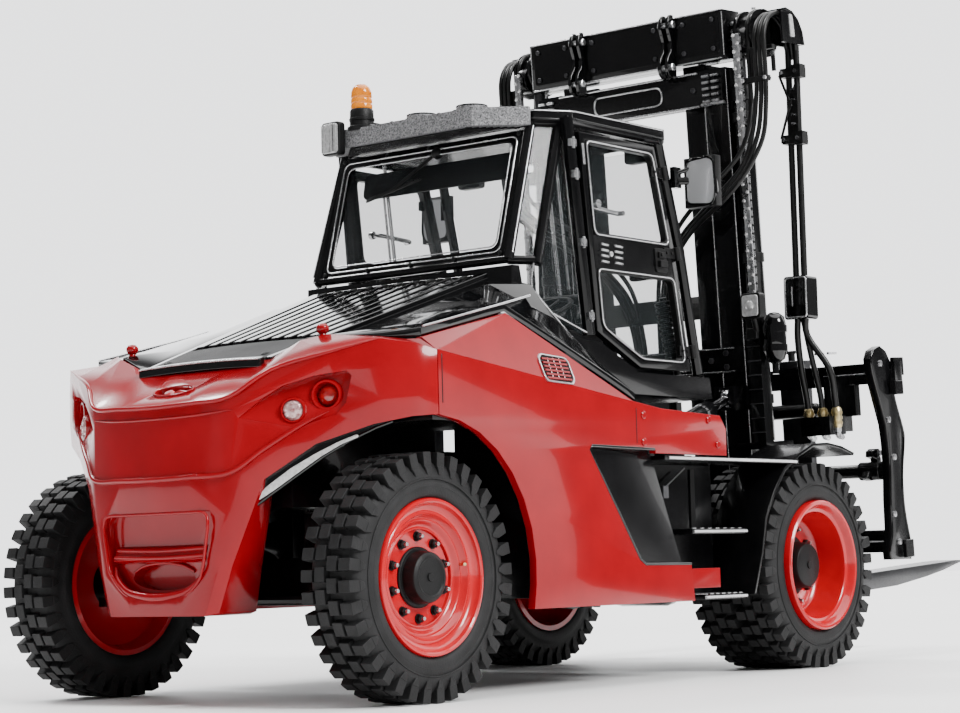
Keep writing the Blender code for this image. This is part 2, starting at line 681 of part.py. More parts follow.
def build_cab_movers(mats):
    for word, side in SIDES:
        build_door(word, side, mats)
        build_mirror("mirror_" + word, side, mats)
    wiper = [
        rod(on_window(0, 0, -0.4), on_window(0, 0, 1.6), 1.7, 12),
        rod(on_window(0, 0, 0.8), on_window(-20.0, -13.0, 0.8), 0.7, 6),
        rod(on_window(-33.0, -16.0, 0.4), on_window(-7.0, -10.0, 0.4), 0.7, 6),
    ]
    solid("wiper", wiper, mats["black_plastic"], WIPER_PIVOT)

    centre = Vector((0.0, 174.6, 149.1))
    axis = Vector((0.0, -15.6, 32.3)).normalized()
    across = Vector((1.0, 0.0, 0.0))
    upright = axis.cross(across)
    turns = 24
    ring = []
    faces = []
    section = 6
    for i in range(turns):
        a = 2.0 * math.pi * i / turns
        radial = across * math.cos(a) + upright * math.sin(a)
        for k in range(section):
            b = 2.0 * math.pi * k / section
            ring.append(tuple(centre + radial * (11.0 + 1.1 * math.cos(b)) + axis * 1.1 * math.sin(b)))
    for i in range(turns):
        for k in range(section):
            j = (i + 1) % turns
            m = (k + 1) % section
            faces.append((i * section + k, j * section + k, j * section + m, i * section + m))
    bodies = [(ring, faces)]
    for a in (90.0, 210.0, 330.0):
        radial = across * math.cos(math.radians(a)) + upright * math.sin(math.radians(a))
        bodies.append(rod(tuple(centre - axis * 0.6), tuple(centre + radial * 11.0), 0.8, 6))
    bodies.append(rod(tuple(centre - axis * 4.2), tuple(centre + axis * 0.8), 2.4, 12))
    solid("steering_wheel", bodies, mats["black_plastic"], tuple(centre), smooth=50.0)


# ---------------------------------------------------------------- wheels

def tyre(name, x_range, y, side, mats):
    x0, x1 = x_range
    mid = (x0 + x1) / 2.0
    half = (x1 - x0) / 2.0
    section = [(half, 33.0), (half - 0.4, 38.4), (half - 2.2, TYRE_CORNER_RADIUS),
               (2.2 - half, TYRE_CORNER_RADIUS), (0.4 - half, 38.4), (-half, 33.0),
               (0.6 - half, 27.4), (1.4 - half, TYRE_BEAD_RADIUS),
               (half - 1.4, TYRE_BEAD_RADIUS), (half - 0.6, 27.4)]
    profile = [(mid + a, r) for a, r in section]
    body = lathe_x(profile, (y, WHEEL_Z), TYRE_SIDES, side, math.pi / TYRE_SIDES)
    solid(name, [body], mats["rubber"], (side * mid, y, WHEEL_Z))


def build_wheels(mats):
    steer_rim = [(82.5, 0.0), (82.5, 7.2), (81.2, 9.8), (76.8, 10.0), (76.8, 18.0),
                 (79.6, 20.0), (80.4, 24.0), (83.0, 24.8), (83.0, RIM_RADIUS),
                 (64.2, RIM_RADIUS), (64.2, 24.4), (70.0, 22.4), (72.6, 18.0), (72.6, 8.0),
                 (67.0, 8.0), (67.0, 4.8), (75.0, 4.8), (75.0, 0.0)]
    drive_rim = [(81.2, 0.0), (81.2, 8.2), (80.0, 9.6), (72.6, 9.6), (72.6, 18.0),
                 (74.4, 21.4), (86.6, 22.8), (89.0, 24.6), (89.0, RIM_RADIUS),
                 (51.0, RIM_RADIUS), (51.0, 24.2), (66.0, 22.0), (69.0, 18.0), (69.0, 10.0),
                 (60.0, 10.0), (60.0, 7.7), (71.0, 7.7), (71.0, 0.0)]
    for word, side in SIDES:
        centre = (0.0, WHEEL_Z)
        mid = sum(STEER_TYRE_X) / 2.0
        tyre("tyre_steer_" + word, STEER_TYRE_X, 0.0, side, mats)
        solid("rim_steer_" + word, [lathe_x(steer_rim, centre, 28, side)], mats["red_paint"],
              (side * mid, 0.0, WHEEL_Z))
        tyre("tyre_drive_%s_outer" % word, DRIVE_OUTER_TYRE_X, DRIVE_Y, side, mats)
        tyre("tyre_drive_%s_inner" % word, DRIVE_INNER_TYRE_X, DRIVE_Y, side, mats)
        centre = (DRIVE_Y, WHEEL_Z)
        solid("rim_drive_" + word, [lathe_x(drive_rim, centre, 28, side)], mats["red_paint"],
              (side * 70.0, DRIVE_Y, WHEEL_Z))


def build_steering(mats):
    bodies = [box((-50.0, -7.0, 34.0), (50.0, 7.0, 49.0))]
    hub = [(-9.5, 0.0), (-9.5, 8.0), (9.5, 8.0), (9.5, 0.0)]
    boss = lathe_x(hub, (0.0, 0.0), 16)
    bodies.append(([(y, x, SWING_AXIS_Z + z) for x, y, z in boss[0]], boss[1]))
    bore = [(-12.0, 0.0), (-12.0, 3.5), (12.0, 3.5), (12.0, 0.0)]
    hole = lathe_x(bore, (0.0, 0.0), 16)
    cuts = [([(y, x, SWING_AXIS_Z + z) for x, y, z in hole[0]], hole[1])]
    for side in (1.0, -1.0):
        x = side * KINGPIN_X
        bodies.append(side_box(side, 49.0, 61.0, -6.0, 6.0, 49.6, 53.6))
        bodies.append(side_box(side, 49.0, 61.0, -6.0, 6.0, 29.4, 33.4))
        bodies.append(side_box(side, 47.5, 50.0, -6.0, 6.0, 29.4, 53.6))
        socket = [(28.0, 0.0), (28.0, 2.8), (55.0, 2.8), (55.0, 0.0)]
        cuts.append(disc_s(socket, (x, 0.0), 14))
    cuts.append(box((-62.0, -9.0, 33.9), (-50.2, 9.0, 49.2)))
    cuts.append(box((50.2, -9.0, 33.9), (62.0, 9.0, 49.2)))
    solid("steer_axle", bodies, mats["black_paint"], (0.0, 0.0, SWING_AXIS_Z), cuts)

    for word, side in SIDES:
        x = side * KINGPIN_X
        barrel = disc_s([(34.4, 0.0), (34.4, 5.0), (48.8, 5.0), (48.8, 0.0)], (x, 0.0), 14)
        pin = disc_s([(29.8, 0.0), (29.8, 2.4), (53.2, 2.4), (53.2, 0.0)], (x, 0.0), 14)
        spindle = lathe_x([(57.0, 0.0), (57.0, 4.3), (73.6, 4.3), (73.6, 0.0)],
                          (0.0, WHEEL_Z), 14, side)
        arm = side_box(side, 53.6, 58.4, -15.6, -3.0, 37.6, 41.0)
        finger = disc_s([(32.4, 0.0), (32.4, STEER_PIN_RADIUS), (38.0, STEER_PIN_RADIUS),
                         (38.0, 0.0)], (x, -STEER_ARM), 10)
        solid("knuckle_" + word, [barrel, pin, spindle, arm, finger], mats["grey_metal"],
              (x, 0.0, WHEEL_Z))

    bodies = [rod((-50.0, -13.4, 35.0), (50.0, -13.4, 35.0), 2.0, 10)]
    cuts = []
    for side in (1.0, -1.0):
        bodies.append(side_box(side, 48.0, 60.0, -17.6, -9.6, 33.4, 36.8))
        cuts.append(side_box(side, KINGPIN_X - STEER_SLOT_HALF, KINGPIN_X + STEER_SLOT_HALF,
                             -STEER_ARM - STEER_SLOT_HALF, -12.5 + STEER_SLOT_HALF, 30.0, 40.0))
    solid("steer_rod", bodies, mats["grey_metal"], (0.0, -13.4, 35.0), cuts)


# ---------------------------------------------------------------- mast

def mbox(side, x0, x1, v0, v1, s0, s1):
    return mapped(side_box(side, x0, x1, v0, v1, s0, s1), on_mast)


def mbar(x_half, v0, v1, s0, s1):
    return mapped(box((-x_half, v0, s0), (x_half, v1, s1)), on_mast)


def build_mast_outer(mats):
    bodies = []
    cuts = []
    x0, x1 = RAIL_OUT
    lug_v, lug_s = to_mast(TILT_LUG)
    for side in (1.0, -1.0):
        section = [(x0, -8.0), (x1, -8.0), (x1, 8.0), (x0, 8.0), (x0, 5.4), (x1 - 2.6, 5.4),
                   (x1 - 2.6, -5.4), (x0, -5.4)]
        outline = [(side * a, b) for a, b in section]
        bodies.append(mapped(prism_z(outline, -8.0, MAST_LENGTH), on_mast))
    for s0, s1 in ((15.0, 27.0), (84.0, 95.0), (198.0, 213.0)):
        bodies.append(mbar(x1 - 0.2, -10.6, -7.6, s0, s1))
    for side in (1.0, -1.0):
        collar = [(x0 + 0.2, 0.0), (x0 + 0.2, 17.0), (x1 - 0.8, 17.0), (x1 - 0.8, 0.0)]
        bodies.append(lathe_x(collar, (DRIVE_Y, WHEEL_Z), 24, side))
        bore = [(30.0, 0.0), (30.0, 13.5), (60.0, 13.5), (60.0, 0.0)]
        cuts.append(lathe_x(bore, (DRIVE_Y, WHEEL_Z), 24, side))
        bodies.append(mbox(side, x0 + 0.8, x1 - 1.6, -17.0, -7.0, -4.0, 10.0))
        for a, b in ((40.2, 42.6), (47.4, 49.8)):
            bodies.append(mbox(side, a, b, lug_v - 3.6, -7.0, lug_s - 5.0, lug_s + 5.0))
        shaft = [(40.2, 0.0), (40.2, TILT_PIN_RADIUS), (49.8, TILT_PIN_RADIUS), (49.8, 0.0)]
        bodies.append(mapped(lathe_x(shaft, (lug_v, lug_s), 12, side), on_mast))
        bodies.append(mbox(side, x1 - 1.0, CHAIN_X + 3.2, -15.2, 6.0, 51.0, 54.0))
        bodies.append(mbox(side, CHAIN_X - 3.1, CHAIN_X + 3.1, -15.1, -9.0, 53.0, 113.5))
        cuts.append(mbox(side, CHAIN_X - 2.2, CHAIN_X + 2.2, -14.1, -10.0, 54.6, 120.0))
    solid("mast_outer", bodies, mats["black_paint"], (0.0, DRIVE_Y, WHEEL_Z), cuts)

    for word, side in SIDES:
        x = side * LIFT_CYLINDER_X
        barrel = [(54.4, 0.0), (54.4, 4.2), (203.0, 4.2), (205.0, 3.8), (205.0, 3.0),
                  (62.0, 3.0), (62.0, 0.0)]
        solid("lift_barrel_" + word,
              [mapped(disc_s(barrel, (x, LIFT_CYLINDER_V), 16), on_mast)],
              mats["black_paint"], (0.0, DRIVE_Y, WHEEL_Z))


def cover_arc(along, up):
    """Half round outline of the hose cover on the mast head, in (v, s)."""
    points = []
    for k in range(9):
        angle = math.pi * k / 8.0
        points.append((6.0 + along * math.cos(angle), 222.0 + up * math.sin(angle)))
    return points


def build_mast_inner(mats):
    bodies = []
    x0, x1 = RAIL_IN
    for side in (1.0, -1.0):
        section = [(x0, -6.8), (x1, -6.8), (x1, 6.8), (x0, 6.8), (x0, 4.6), (x1 - 2.2, 4.6),
                   (x1 - 2.2, -4.6), (x0, -4.6)]
        outline = [(side * a, b) for a, b in section]
        bodies.append(mapped(prism_z(outline, -6.0, 216.8), on_mast))
    for s0, s1 in ((10.0, 22.0), (108.0, 118.0), (198.0, 212.0)):
        bodies.append(mbar(x1 - 0.4, -6.4, -4.2, s0, s1))
    pivot = on_mast((0.0, 0.0, 0.0))
    solid("mast_inner", bodies, mats["black_paint"], pivot)

    bodies = [mbar(51.6, -11.0, 2.0, 217.2, 238.0)]
    outer = cover_arc(13.6, 15.0)
    inner = cover_arc(12.6, 14.0)
    closing = cover_arc(13.1, 14.5)
    for side in (1.0, -1.0):
        bodies.append(mbox(side, 50.4, 66.0, -5.2, 5.4, 220.6, 232.6))
        drum = [(54.5, 0.0), (54.5, 10.5), (56.2, 10.5), (56.2, 8.6), (62.4, 8.6),
                (62.4, 10.5), (64.0, 10.5), (64.0, 0.0)]
        bodies.append(mapped(lathe_x(drum, (2.0, 227.0), 20, side), on_mast))
        shell = prism_x(outer + inner[::-1], side * 64.4, side * 72.6)
        bodies.append(mapped(shell, on_mast))
        bodies.append(mapped(prism_x(closing, side * 71.4, side * 72.3), on_mast))
        bodies.append(mapped(prism_x(closing, side * 63.5, side * 64.7), on_mast))
        sheave = [(CHAIN_X - 2.6, 0.0), (CHAIN_X - 2.6, 6.0), (CHAIN_X + 2.6, 6.0),
                  (CHAIN_X + 2.6, 0.0)]
        bodies.append(mapped(lathe_x(sheave, (-4.4, 224.0), 16, side), on_mast))
        stem = [(100.0, 0.0), (100.0, LIFT_ROD_RADIUS), (222.0, LIFT_ROD_RADIUS), (222.0, 0.0)]
        place = (side * LIFT_CYLINDER_X, LIFT_CYLINDER_V)
        bodies.append(mapped(disc_s(stem, place, 12), on_mast))
    solid("mast_crosshead", bodies, mats["black_paint"], pivot)

    for word, side in SIDES:
        strip = mbox(side, CHAIN_X - 1.6, CHAIN_X + 1.6, -13.2, -10.9, 56.0, 226.0)
        solid("chain_" + word, [strip], mats["steel"], pivot)


def build_carriage(mats):
    bodies = [
        mbar(94.6, 38.0, 44.0, 75.7, 84.6),
        mbar(91.0, 38.0, 44.0, 3.5, 13.0),
        mapped(lathe_x([(-90.0, 0.0), (-90.0, 3.0), (90.0, 3.0), (90.0, 0.0)],
                       (35.4, 38.5), 12), on_mast),
    ]
    plate = [(25.0, 89.6), (22.5, 86.0), (23.0, 80.0), (26.4, 71.0), (31.4, 58.0), (32.4, 50.0),
             (32.4, 38.0), (31.0, 26.0), (30.4, 12.0), (27.5, 5.0), (28.0, 1.0), (45.6, 0.0),
             (46.6, 6.0), (43.2, 22.0), (43.4, 36.0), (46.8, 50.0), (46.4, 56.0), (41.0, 70.0),
             (39.6, 84.0), (36.0, 89.0), (31.0, 91.4)]
    for side in (1.0, -1.0):
        end = prism_x(plate, side * 88.5, side * 92.0)
        bodies.append(mapped(end, on_mast))
        bodies.append(mbox(side, 18.0, 22.2, -4.0, 38.6, 8.0, 88.0))
        for s in (17.0, 80.0):
            roller = [(22.0, 0.0), (22.0, 4.1), (33.8, 4.1), (33.8, 0.0)]
            bodies.append(mapped(lathe_x(roller, (0.0, s), 14, side), on_mast))
        bodies.append(mbox(side, 68.0, 72.0, 23.0, 38.6, 56.0, 80.0))
        bodies.append(mbox(side, 63.0, 77.0, 11.0, 24.0, 55.0, 63.0))
    solid("carriage", bodies, mats["black_paint"], on_mast((0.0, 0.0, 0.0)))

    fork = [(44.5, -16.2), (112.0, -16.4), (140.0, -14.6), (181.0, -10.6), (181.0, -9.8),
            (171.0, -9.1), (120.0, -8.9), (53.0, -8.5), (48.8, -4.4), (48.8, 88.4),
            (39.0, 88.4), (39.0, 85.0), (44.5, 85.0)]
    for word, side in SIDES:
        x = side * FORK_X
        body = mapped(prism_x(fork, x - FORK_HALF, x + FORK_HALF), on_mast)
        solid("fork_" + word, [body], mats["dark_steel"], on_mast((x, 44.5, 0.0)))


def build_tilt(mats):
    length = math.hypot(TILT_LUG[0] - TILT_REAR[0], TILT_LUG[1] - TILT_REAR[1])
    for word, side in SIDES:
        x = side * TILT_X
        eye = [(43.4, 0.0), (43.4, 4.2), (46.6, 4.2), (46.6, 0.0)]
        hole = [(40.0, 0.0), (40.0, 2.4), (50.0, 2.4), (50.0, 0.0)]
        tubing = [(3.0, 0.0), (3.0, 1.5), (6.0, 1.5), (6.0, 4.4), (31.0, 4.4), (32.0, 3.8),
                  (32.0, 2.6), (9.0, 2.6), (9.0, 0.0)]
        tubing = disc_s(tubing, (x, 0.0), 16)
        bodies = [mapped(tubing, on_tilt), mapped(lathe_x(eye, (0.0, 0.0), 16, side), on_tilt)]
        cuts = [mapped(lathe_x(hole, (0.0, 0.0), 16, side), on_tilt)]
        solid("tilt_barrel_" + word, bodies, mats["black_paint"],
              (x, TILT_REAR[0], TILT_REAR[1]), cuts)
        stem = disc_s([(16.0, 0.0), (16.0, 2.2), (length - 2.0, 2.2), (length - 2.0, 0.0)],
                      (x, 0.0), 12)
        bodies = [mapped(stem, on_tilt), mapped(lathe_x(eye, (0.0, length), 16, side), on_tilt)]
        cuts = [mapped(lathe_x([(a, 2.5 if r else 0.0) for a, r in hole], (0.0, length), 16, side),
                       on_tilt)]
        solid("tilt_rod_" + word, bodies, mats["chrome"], (x, TILT_LUG[0], TILT_LUG[1]), cuts)


def build_hoses(mats):
    for word, side in SIDES:
        bodies = [
            side_box(side, HOSE_X - 6.0, HOSE_X + 6.0, HOSE_Y - 3.2, HOSE_Y + 3.2, 145.0, 163.0),
            side_box(side, HOSE_X - 4.2, HOSE_X + 4.2, HOSE_Y - 2.0, HOSE_Y + 2.0, 220.0, 224.0),
            side_box(side, HOSE_X - 4.2, HOSE_X + 4.2, HOSE_Y - 2.0, HOSE_Y + 2.0, 249.0, 253.0),
        ]
        for dx in (-2.0, 2.0):
            x = side * (HOSE_X + dx)
            low = side * (HOSE_X + 1.0 + 2.4 * dx)
            route = [(x, HOSE_Y, HOSE_TOP), (x, HOSE_Y, 150.0), (x, HOSE_Y + 3.0, 132.0),
                     (low, 272.4, 115.0), (low, 274.4, 105.2)]
            bodies.append(tube(route, 1.4, 8))
        solid("hose_drop_" + word, bodies, mats["rubber"], (side * HOSE_X, HOSE_Y, HOSE_TOP))


def main():
    clear_scene()
    mats = {
        "red_paint": material("red_paint", (0.62, 0.018, 0.022), 0.28, 0.0),
        "black_paint": material("black_paint", (0.012, 0.012, 0.013), 0.35, 0.0),
        "gloss_black": material("gloss_black", (0.008, 0.008, 0.009), 0.12, 0.0),
        "black_plastic": material("black_plastic", (0.02, 0.02, 0.02), 0.5, 0.0),
        "rubber": material("rubber", (0.022, 0.022, 0.022), 0.8, 0.0),
        "vinyl": material("vinyl", (0.018, 0.018, 0.018), 0.6, 0.0),
        "glass": material("glass", (0.75, 0.8, 0.82), 0.05, 0.0),
        "grey_metal": material("grey_metal", (0.16, 0.16, 0.17), 0.45, 0.8),
        "dark_steel": material("dark_steel", (0.08, 0.08, 0.085), 0.4, 0.9),
        "steel": material("steel", (0.45, 0.45, 0.46), 0.35, 1.0),
        "chrome": material("chrome", (0.7, 0.7, 0.72), 0.12, 1.0),
        "speckled_grey": material("speckled_grey", (0.11, 0.11, 0.115), 0.7, 0.0),
        "amber": material("amber", (0.9, 0.32, 0.02), 0.2, 0.0),
    }
    build_chassis(mats)
    build_counterweight(mats)
    build_body_sides(mats)
    build_hood(mats)
    build_cab(mats)
    build_cab_movers(mats)
    build_wheels(mats)
    build_steering(mats)
    build_mast_outer(mats)
    build_mast_inner(mats)
    build_carriage(mats)
    build_tilt(mats)
    build_hoses(mats)


main()
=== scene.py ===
import json
import math

import bmesh
import bpy
from mathutils import Matrix, Vector
from mathutils.bvhtree import BVHTree

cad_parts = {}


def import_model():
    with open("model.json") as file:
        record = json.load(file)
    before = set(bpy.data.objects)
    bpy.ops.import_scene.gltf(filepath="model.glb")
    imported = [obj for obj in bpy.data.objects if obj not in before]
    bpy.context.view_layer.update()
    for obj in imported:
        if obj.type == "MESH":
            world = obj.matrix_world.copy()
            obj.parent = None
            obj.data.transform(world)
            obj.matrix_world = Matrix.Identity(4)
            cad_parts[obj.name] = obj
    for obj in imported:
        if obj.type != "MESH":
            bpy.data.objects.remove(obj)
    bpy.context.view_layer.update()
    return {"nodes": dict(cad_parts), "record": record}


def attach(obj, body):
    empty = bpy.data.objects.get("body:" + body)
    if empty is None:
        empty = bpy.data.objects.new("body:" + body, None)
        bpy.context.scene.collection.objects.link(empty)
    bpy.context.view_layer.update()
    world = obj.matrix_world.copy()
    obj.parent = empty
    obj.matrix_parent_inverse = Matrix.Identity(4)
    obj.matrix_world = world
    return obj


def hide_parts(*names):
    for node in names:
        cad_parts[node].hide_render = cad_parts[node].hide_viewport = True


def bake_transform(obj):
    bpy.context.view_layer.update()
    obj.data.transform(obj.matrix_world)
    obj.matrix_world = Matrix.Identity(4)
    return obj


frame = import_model()

MM = 0.001
DATUM_Y = -198.005
DRIVE_Y = 238.5
WHEEL_Z = 41.5
PANEL_FACE = 87.8
MAST_FOOT = (261.0, 40.0)
MAST_LEAN = math.radians(3.5)
TILT_REAR = (196.0, 96.0)
TILT_LUG = (241.0, 112.0)
SIDES = (("right", 1.0), ("left", -1.0))
NODES = frame["nodes"]


# ------------------------------------------------------------ coordinates

def world(p):
    return Vector((p[0] * MM, (p[1] + DATUM_Y) * MM, p[2] * MM))


def on_mast(p):
    x, v, s = p
    c = math.cos(MAST_LEAN)
    d = math.sin(MAST_LEAN)
    return (x, MAST_FOOT[0] + v * c - s * d, MAST_FOOT[1] + s * c + v * d)


def on_tilt(p):
    x, n, t = p
    dy = TILT_LUG[0] - TILT_REAR[0]
    dz = TILT_LUG[1] - TILT_REAR[1]
    length = math.hypot(dy, dz)
    return (x, TILT_REAR[0] + (t * dy - n * dz) / length, TILT_REAR[1] + (t * dz + n * dy) / length)


def flip(side):
    return lambda p: (side * p[0], p[1], p[2])


# ------------------------------------------------------------ materials

def link(tree, a, b):
    tree.links.new(a, b)


def surface(name, low, high, rough, metal=0.0, scale=300.0, bump=0.0, bump_scale=900.0,
            coat=0.0, spread=0.06, stretch=(1.0, 1.0, 1.0), specular=0.5):
    """Principled surface with mottled colour, uneven roughness and a fine grain."""
    mat = bpy.data.materials.new(name)
    mat.use_nodes = True
    tree = mat.node_tree
    shader = tree.nodes["Principled BSDF"]
    shader.inputs["Metallic"].default_value = metal
    shader.inputs["Coat Weight"].default_value = coat
    shader.inputs["Coat Roughness"].default_value = 0.04
    shader.inputs["Specular IOR Level"].default_value = specular
    coords = tree.nodes.new("ShaderNodeTexCoord")
    place = tree.nodes.new("ShaderNodeMapping")
    place.inputs["Scale"].default_value = stretch
    link(tree, coords.outputs["Object"], place.inputs["Vector"])
    mottle = tree.nodes.new("ShaderNodeTexNoise")
    mottle.inputs["Scale"].default_value = scale
    mottle.inputs["Detail"].default_value = 5.0
    link(tree, place.outputs["Vector"], mottle.inputs["Vector"])
    ramp = tree.nodes.new("ShaderNodeValToRGB")
    ramp.color_ramp.elements[0].position = 0.3
    ramp.color_ramp.elements[0].color = (*low, 1.0)
    ramp.color_ramp.elements[1].position = 0.72
    ramp.color_ramp.elements[1].color = (*high, 1.0)
    link(tree, mottle.outputs["Fac"], ramp.inputs["Fac"])
    link(tree, ramp.outputs["Color"], shader.inputs["Base Color"])
    rough_noise = tree.nodes.new("ShaderNodeTexNoise")
    rough_noise.inputs["Scale"].default_value = scale * 0.37
    rough_noise.inputs["Detail"].default_value = 4.0
    link(tree, place.outputs["Vector"], rough_noise.inputs["Vector"])
    reach = tree.nodes.new("ShaderNodeMapRange")
    reach.inputs["To Min"].default_value = max(0.02, rough - spread)
    reach.inputs["To Max"].default_value = rough + spread
    link(tree, rough_noise.outputs["Fac"], reach.inputs["Value"])
    link(tree, reach.outputs["Result"], shader.inputs["Roughness"])
    if bump > 0.0:
        grain = tree.nodes.new("ShaderNodeTexNoise")
        grain.inputs["Scale"].default_value = bump_scale
        grain.inputs["Detail"].default_value = 3.0
        link(tree, place.outputs["Vector"], grain.inputs["Vector"])
        lift = tree.nodes.new("ShaderNodeBump")
        lift.inputs["Strength"].default_value = bump
        lift.inputs["Distance"].default_value = 0.0004
        link(tree, grain.outputs["Fac"], lift.inputs["Height"])
        link(tree, lift.outputs["Normal"], shader.inputs["Normal"])
    return mat


def glass_surface(name, tint, rough, alpha):
    mat = surface(name, tint, tuple(min(1.0, c * 1.06) for c in tint), rough, 0.0, 60.0,
                  spread=0.02, specular=0.6)
    mat.node_tree.nodes["Principled BSDF"].inputs["Alpha"].default_value = alpha
    return mat


MATS = {
    "red_paint": surface("red_enamel", (0.21, 0.0004, 0.0035), (0.25, 0.0005, 0.0045), 0.2, 0.0,
                         70.0, 0.03, 2500.0, coat=0.3, spread=0.03, specular=0.15),
    "red_rim": surface("red_rim_enamel", (0.38, 0.0012, 0.006), (0.45, 0.002, 0.008), 0.26, 0.0,
                       90.0, 0.05, 2200.0, coat=0.5, spread=0.04, specular=0.3),
    "black_paint": surface("black_satin", (0.0012, 0.0012, 0.0014), (0.003, 0.003, 0.0033), 0.24,
                           0.0, 160.0, 0.08, 2600.0, coat=0.2, spread=0.07, specular=0.15),
    "gloss_black": surface("black_gloss", (0.001, 0.001, 0.0011), (0.0025, 0.0025, 0.0028), 0.08,
                           0.0, 80.0, 0.02, 1800.0, coat=0.6, spread=0.03, specular=0.2),
    "black_plastic": surface("black_moulding", (0.002, 0.002, 0.002), (0.005, 0.005, 0.0053),
                             0.42, 0.0, 260.0, 0.25, 3200.0, spread=0.08, specular=0.2),
    "hose_rubber": surface("hose_rubber", (0.002, 0.002, 0.002), (0.005, 0.005, 0.005), 0.34, 0.0,
                           420.0, 0.15, 2400.0, spread=0.08, specular=0.3),
    "tyre_rubber": surface("tyre_rubber", (0.005, 0.005, 0.0052), (0.012, 0.012, 0.0125), 0.62,
                           0.0, 130.0, 0.35, 1500.0, spread=0.1, specular=0.25),
    "vinyl": surface("seat_vinyl", (0.005, 0.005, 0.005), (0.012, 0.012, 0.0125), 0.4, 0.0, 500.0,
                     0.45, 2600.0, spread=0.08),
    "clear_glass": glass_surface("clear_pane", (0.03, 0.036, 0.038), 0.04, 0.15),
    "grey_metal": surface("cast_grey", (0.06, 0.06, 0.064), (0.12, 0.12, 0.127), 0.48, 0.7, 240.0,
                          0.4, 1800.0, spread=0.12),
    "dark_steel": surface("forged_steel", (0.03, 0.03, 0.032), (0.06, 0.06, 0.064), 0.34, 0.8,
                          120.0, 0.2, 1600.0, spread=0.12, stretch=(1.0, 0.25, 1.0)),
    "chain_steel": surface("chain_steel", (0.32, 0.32, 0.33), (0.6, 0.6, 0.61), 0.28, 0.95,
                           600.0, 0.1, 2600.0, spread=0.1),
    "rod_chrome": surface("plated_rod", (0.62, 0.62, 0.64), (0.8, 0.8, 0.82), 0.1, 1.0, 200.0,
                          0.03, 2600.0, spread=0.04),
    "speckled_grey": surface("speckled_coat", (0.02, 0.02, 0.021), (0.3, 0.3, 0.31), 0.6, 0.1,
                             1500.0, 0.9, 1700.0, spread=0.12),
    "amber": surface("amber_lens", (0.34, 0.075, 0.0003), (0.6, 0.18, 0.001), 0.14, 0.0, 300.0,
                     0.05, 1500.0, coat=0.3, specular=0.3),
    # Brushed silver for real trims, vent frames, grab bars and bezels; also used for thin lines
    # along black edges that are painted highlights.
    "silver_trim_and_painted_highlight": surface("brushed_trim_and_painted_highlight", (0.45, 0.45, 0.46), (0.72, 0.72, 0.73), 0.26, 0.9,
                           300.0, 0.1, 2200.0, spread=0.1, stretch=(1.0, 0.1, 1.0)),
    "brass": surface("brass_fitting", (0.5, 0.38, 0.17), (0.72, 0.6, 0.34), 0.28, 0.95, 400.0,
                     0.15, 2400.0, spread=0.1),
    "lens": surface("lamp_lens", (0.2, 0.05, 0.05), (0.75, 0.55, 0.54), 0.1, 0.3, 700.0, 0.4,
                    1500.0, coat=0.8),
    "red_lens": surface("red_lens", (0.3, 0.004, 0.006), (0.55, 0.01, 0.012), 0.12, 0.0, 500.0,
                        0.2, 1500.0, coat=1.0),
    "mirror": surface("mirror_face", (0.66, 0.67, 0.69), (0.8, 0.81, 0.83), 0.2, 0.6, 60.0,
                      spread=0.06, coat=1.0),
    # Pale lacquer for lamp lenses; also used for patches, slots and pin heads that are painted
    # highlights.
    "pale_and_painted_highlight": surface("pale_lacquer_and_painted_highlight", (0.5, 0.5, 0.5), (0.78, 0.78, 0.78), 0.24, 0.55,
                           900.0, 0.25, 1500.0, coat=0.6),
}
lit = MATS["amber"].node_tree.nodes["Principled BSDF"]
lit.inputs["Emission Color"].default_value = (1.0, 0.3, 0.0, 1.0)
lit.inputs["Emission Strength"].default_value = 0.35


# ------------------------------------------------------------ mesh tools

AXIS_ORDER = {"x": lambda p, a: (a, p[0], p[1]), "y": lambda p, a: (p[0], a, p[1]),
              "z": lambda p, a: (p[0], p[1], a)}


def slab_faces(n):
    """Faces of two rings of n points, each capped, with quads between them."""
    caps = [tuple(range(n)), tuple(range(2 * n - 1, n - 1, -1))]
    return caps + [(i, n + i, n + (i + 1) % n, (i + 1) % n) for i in range(n)]


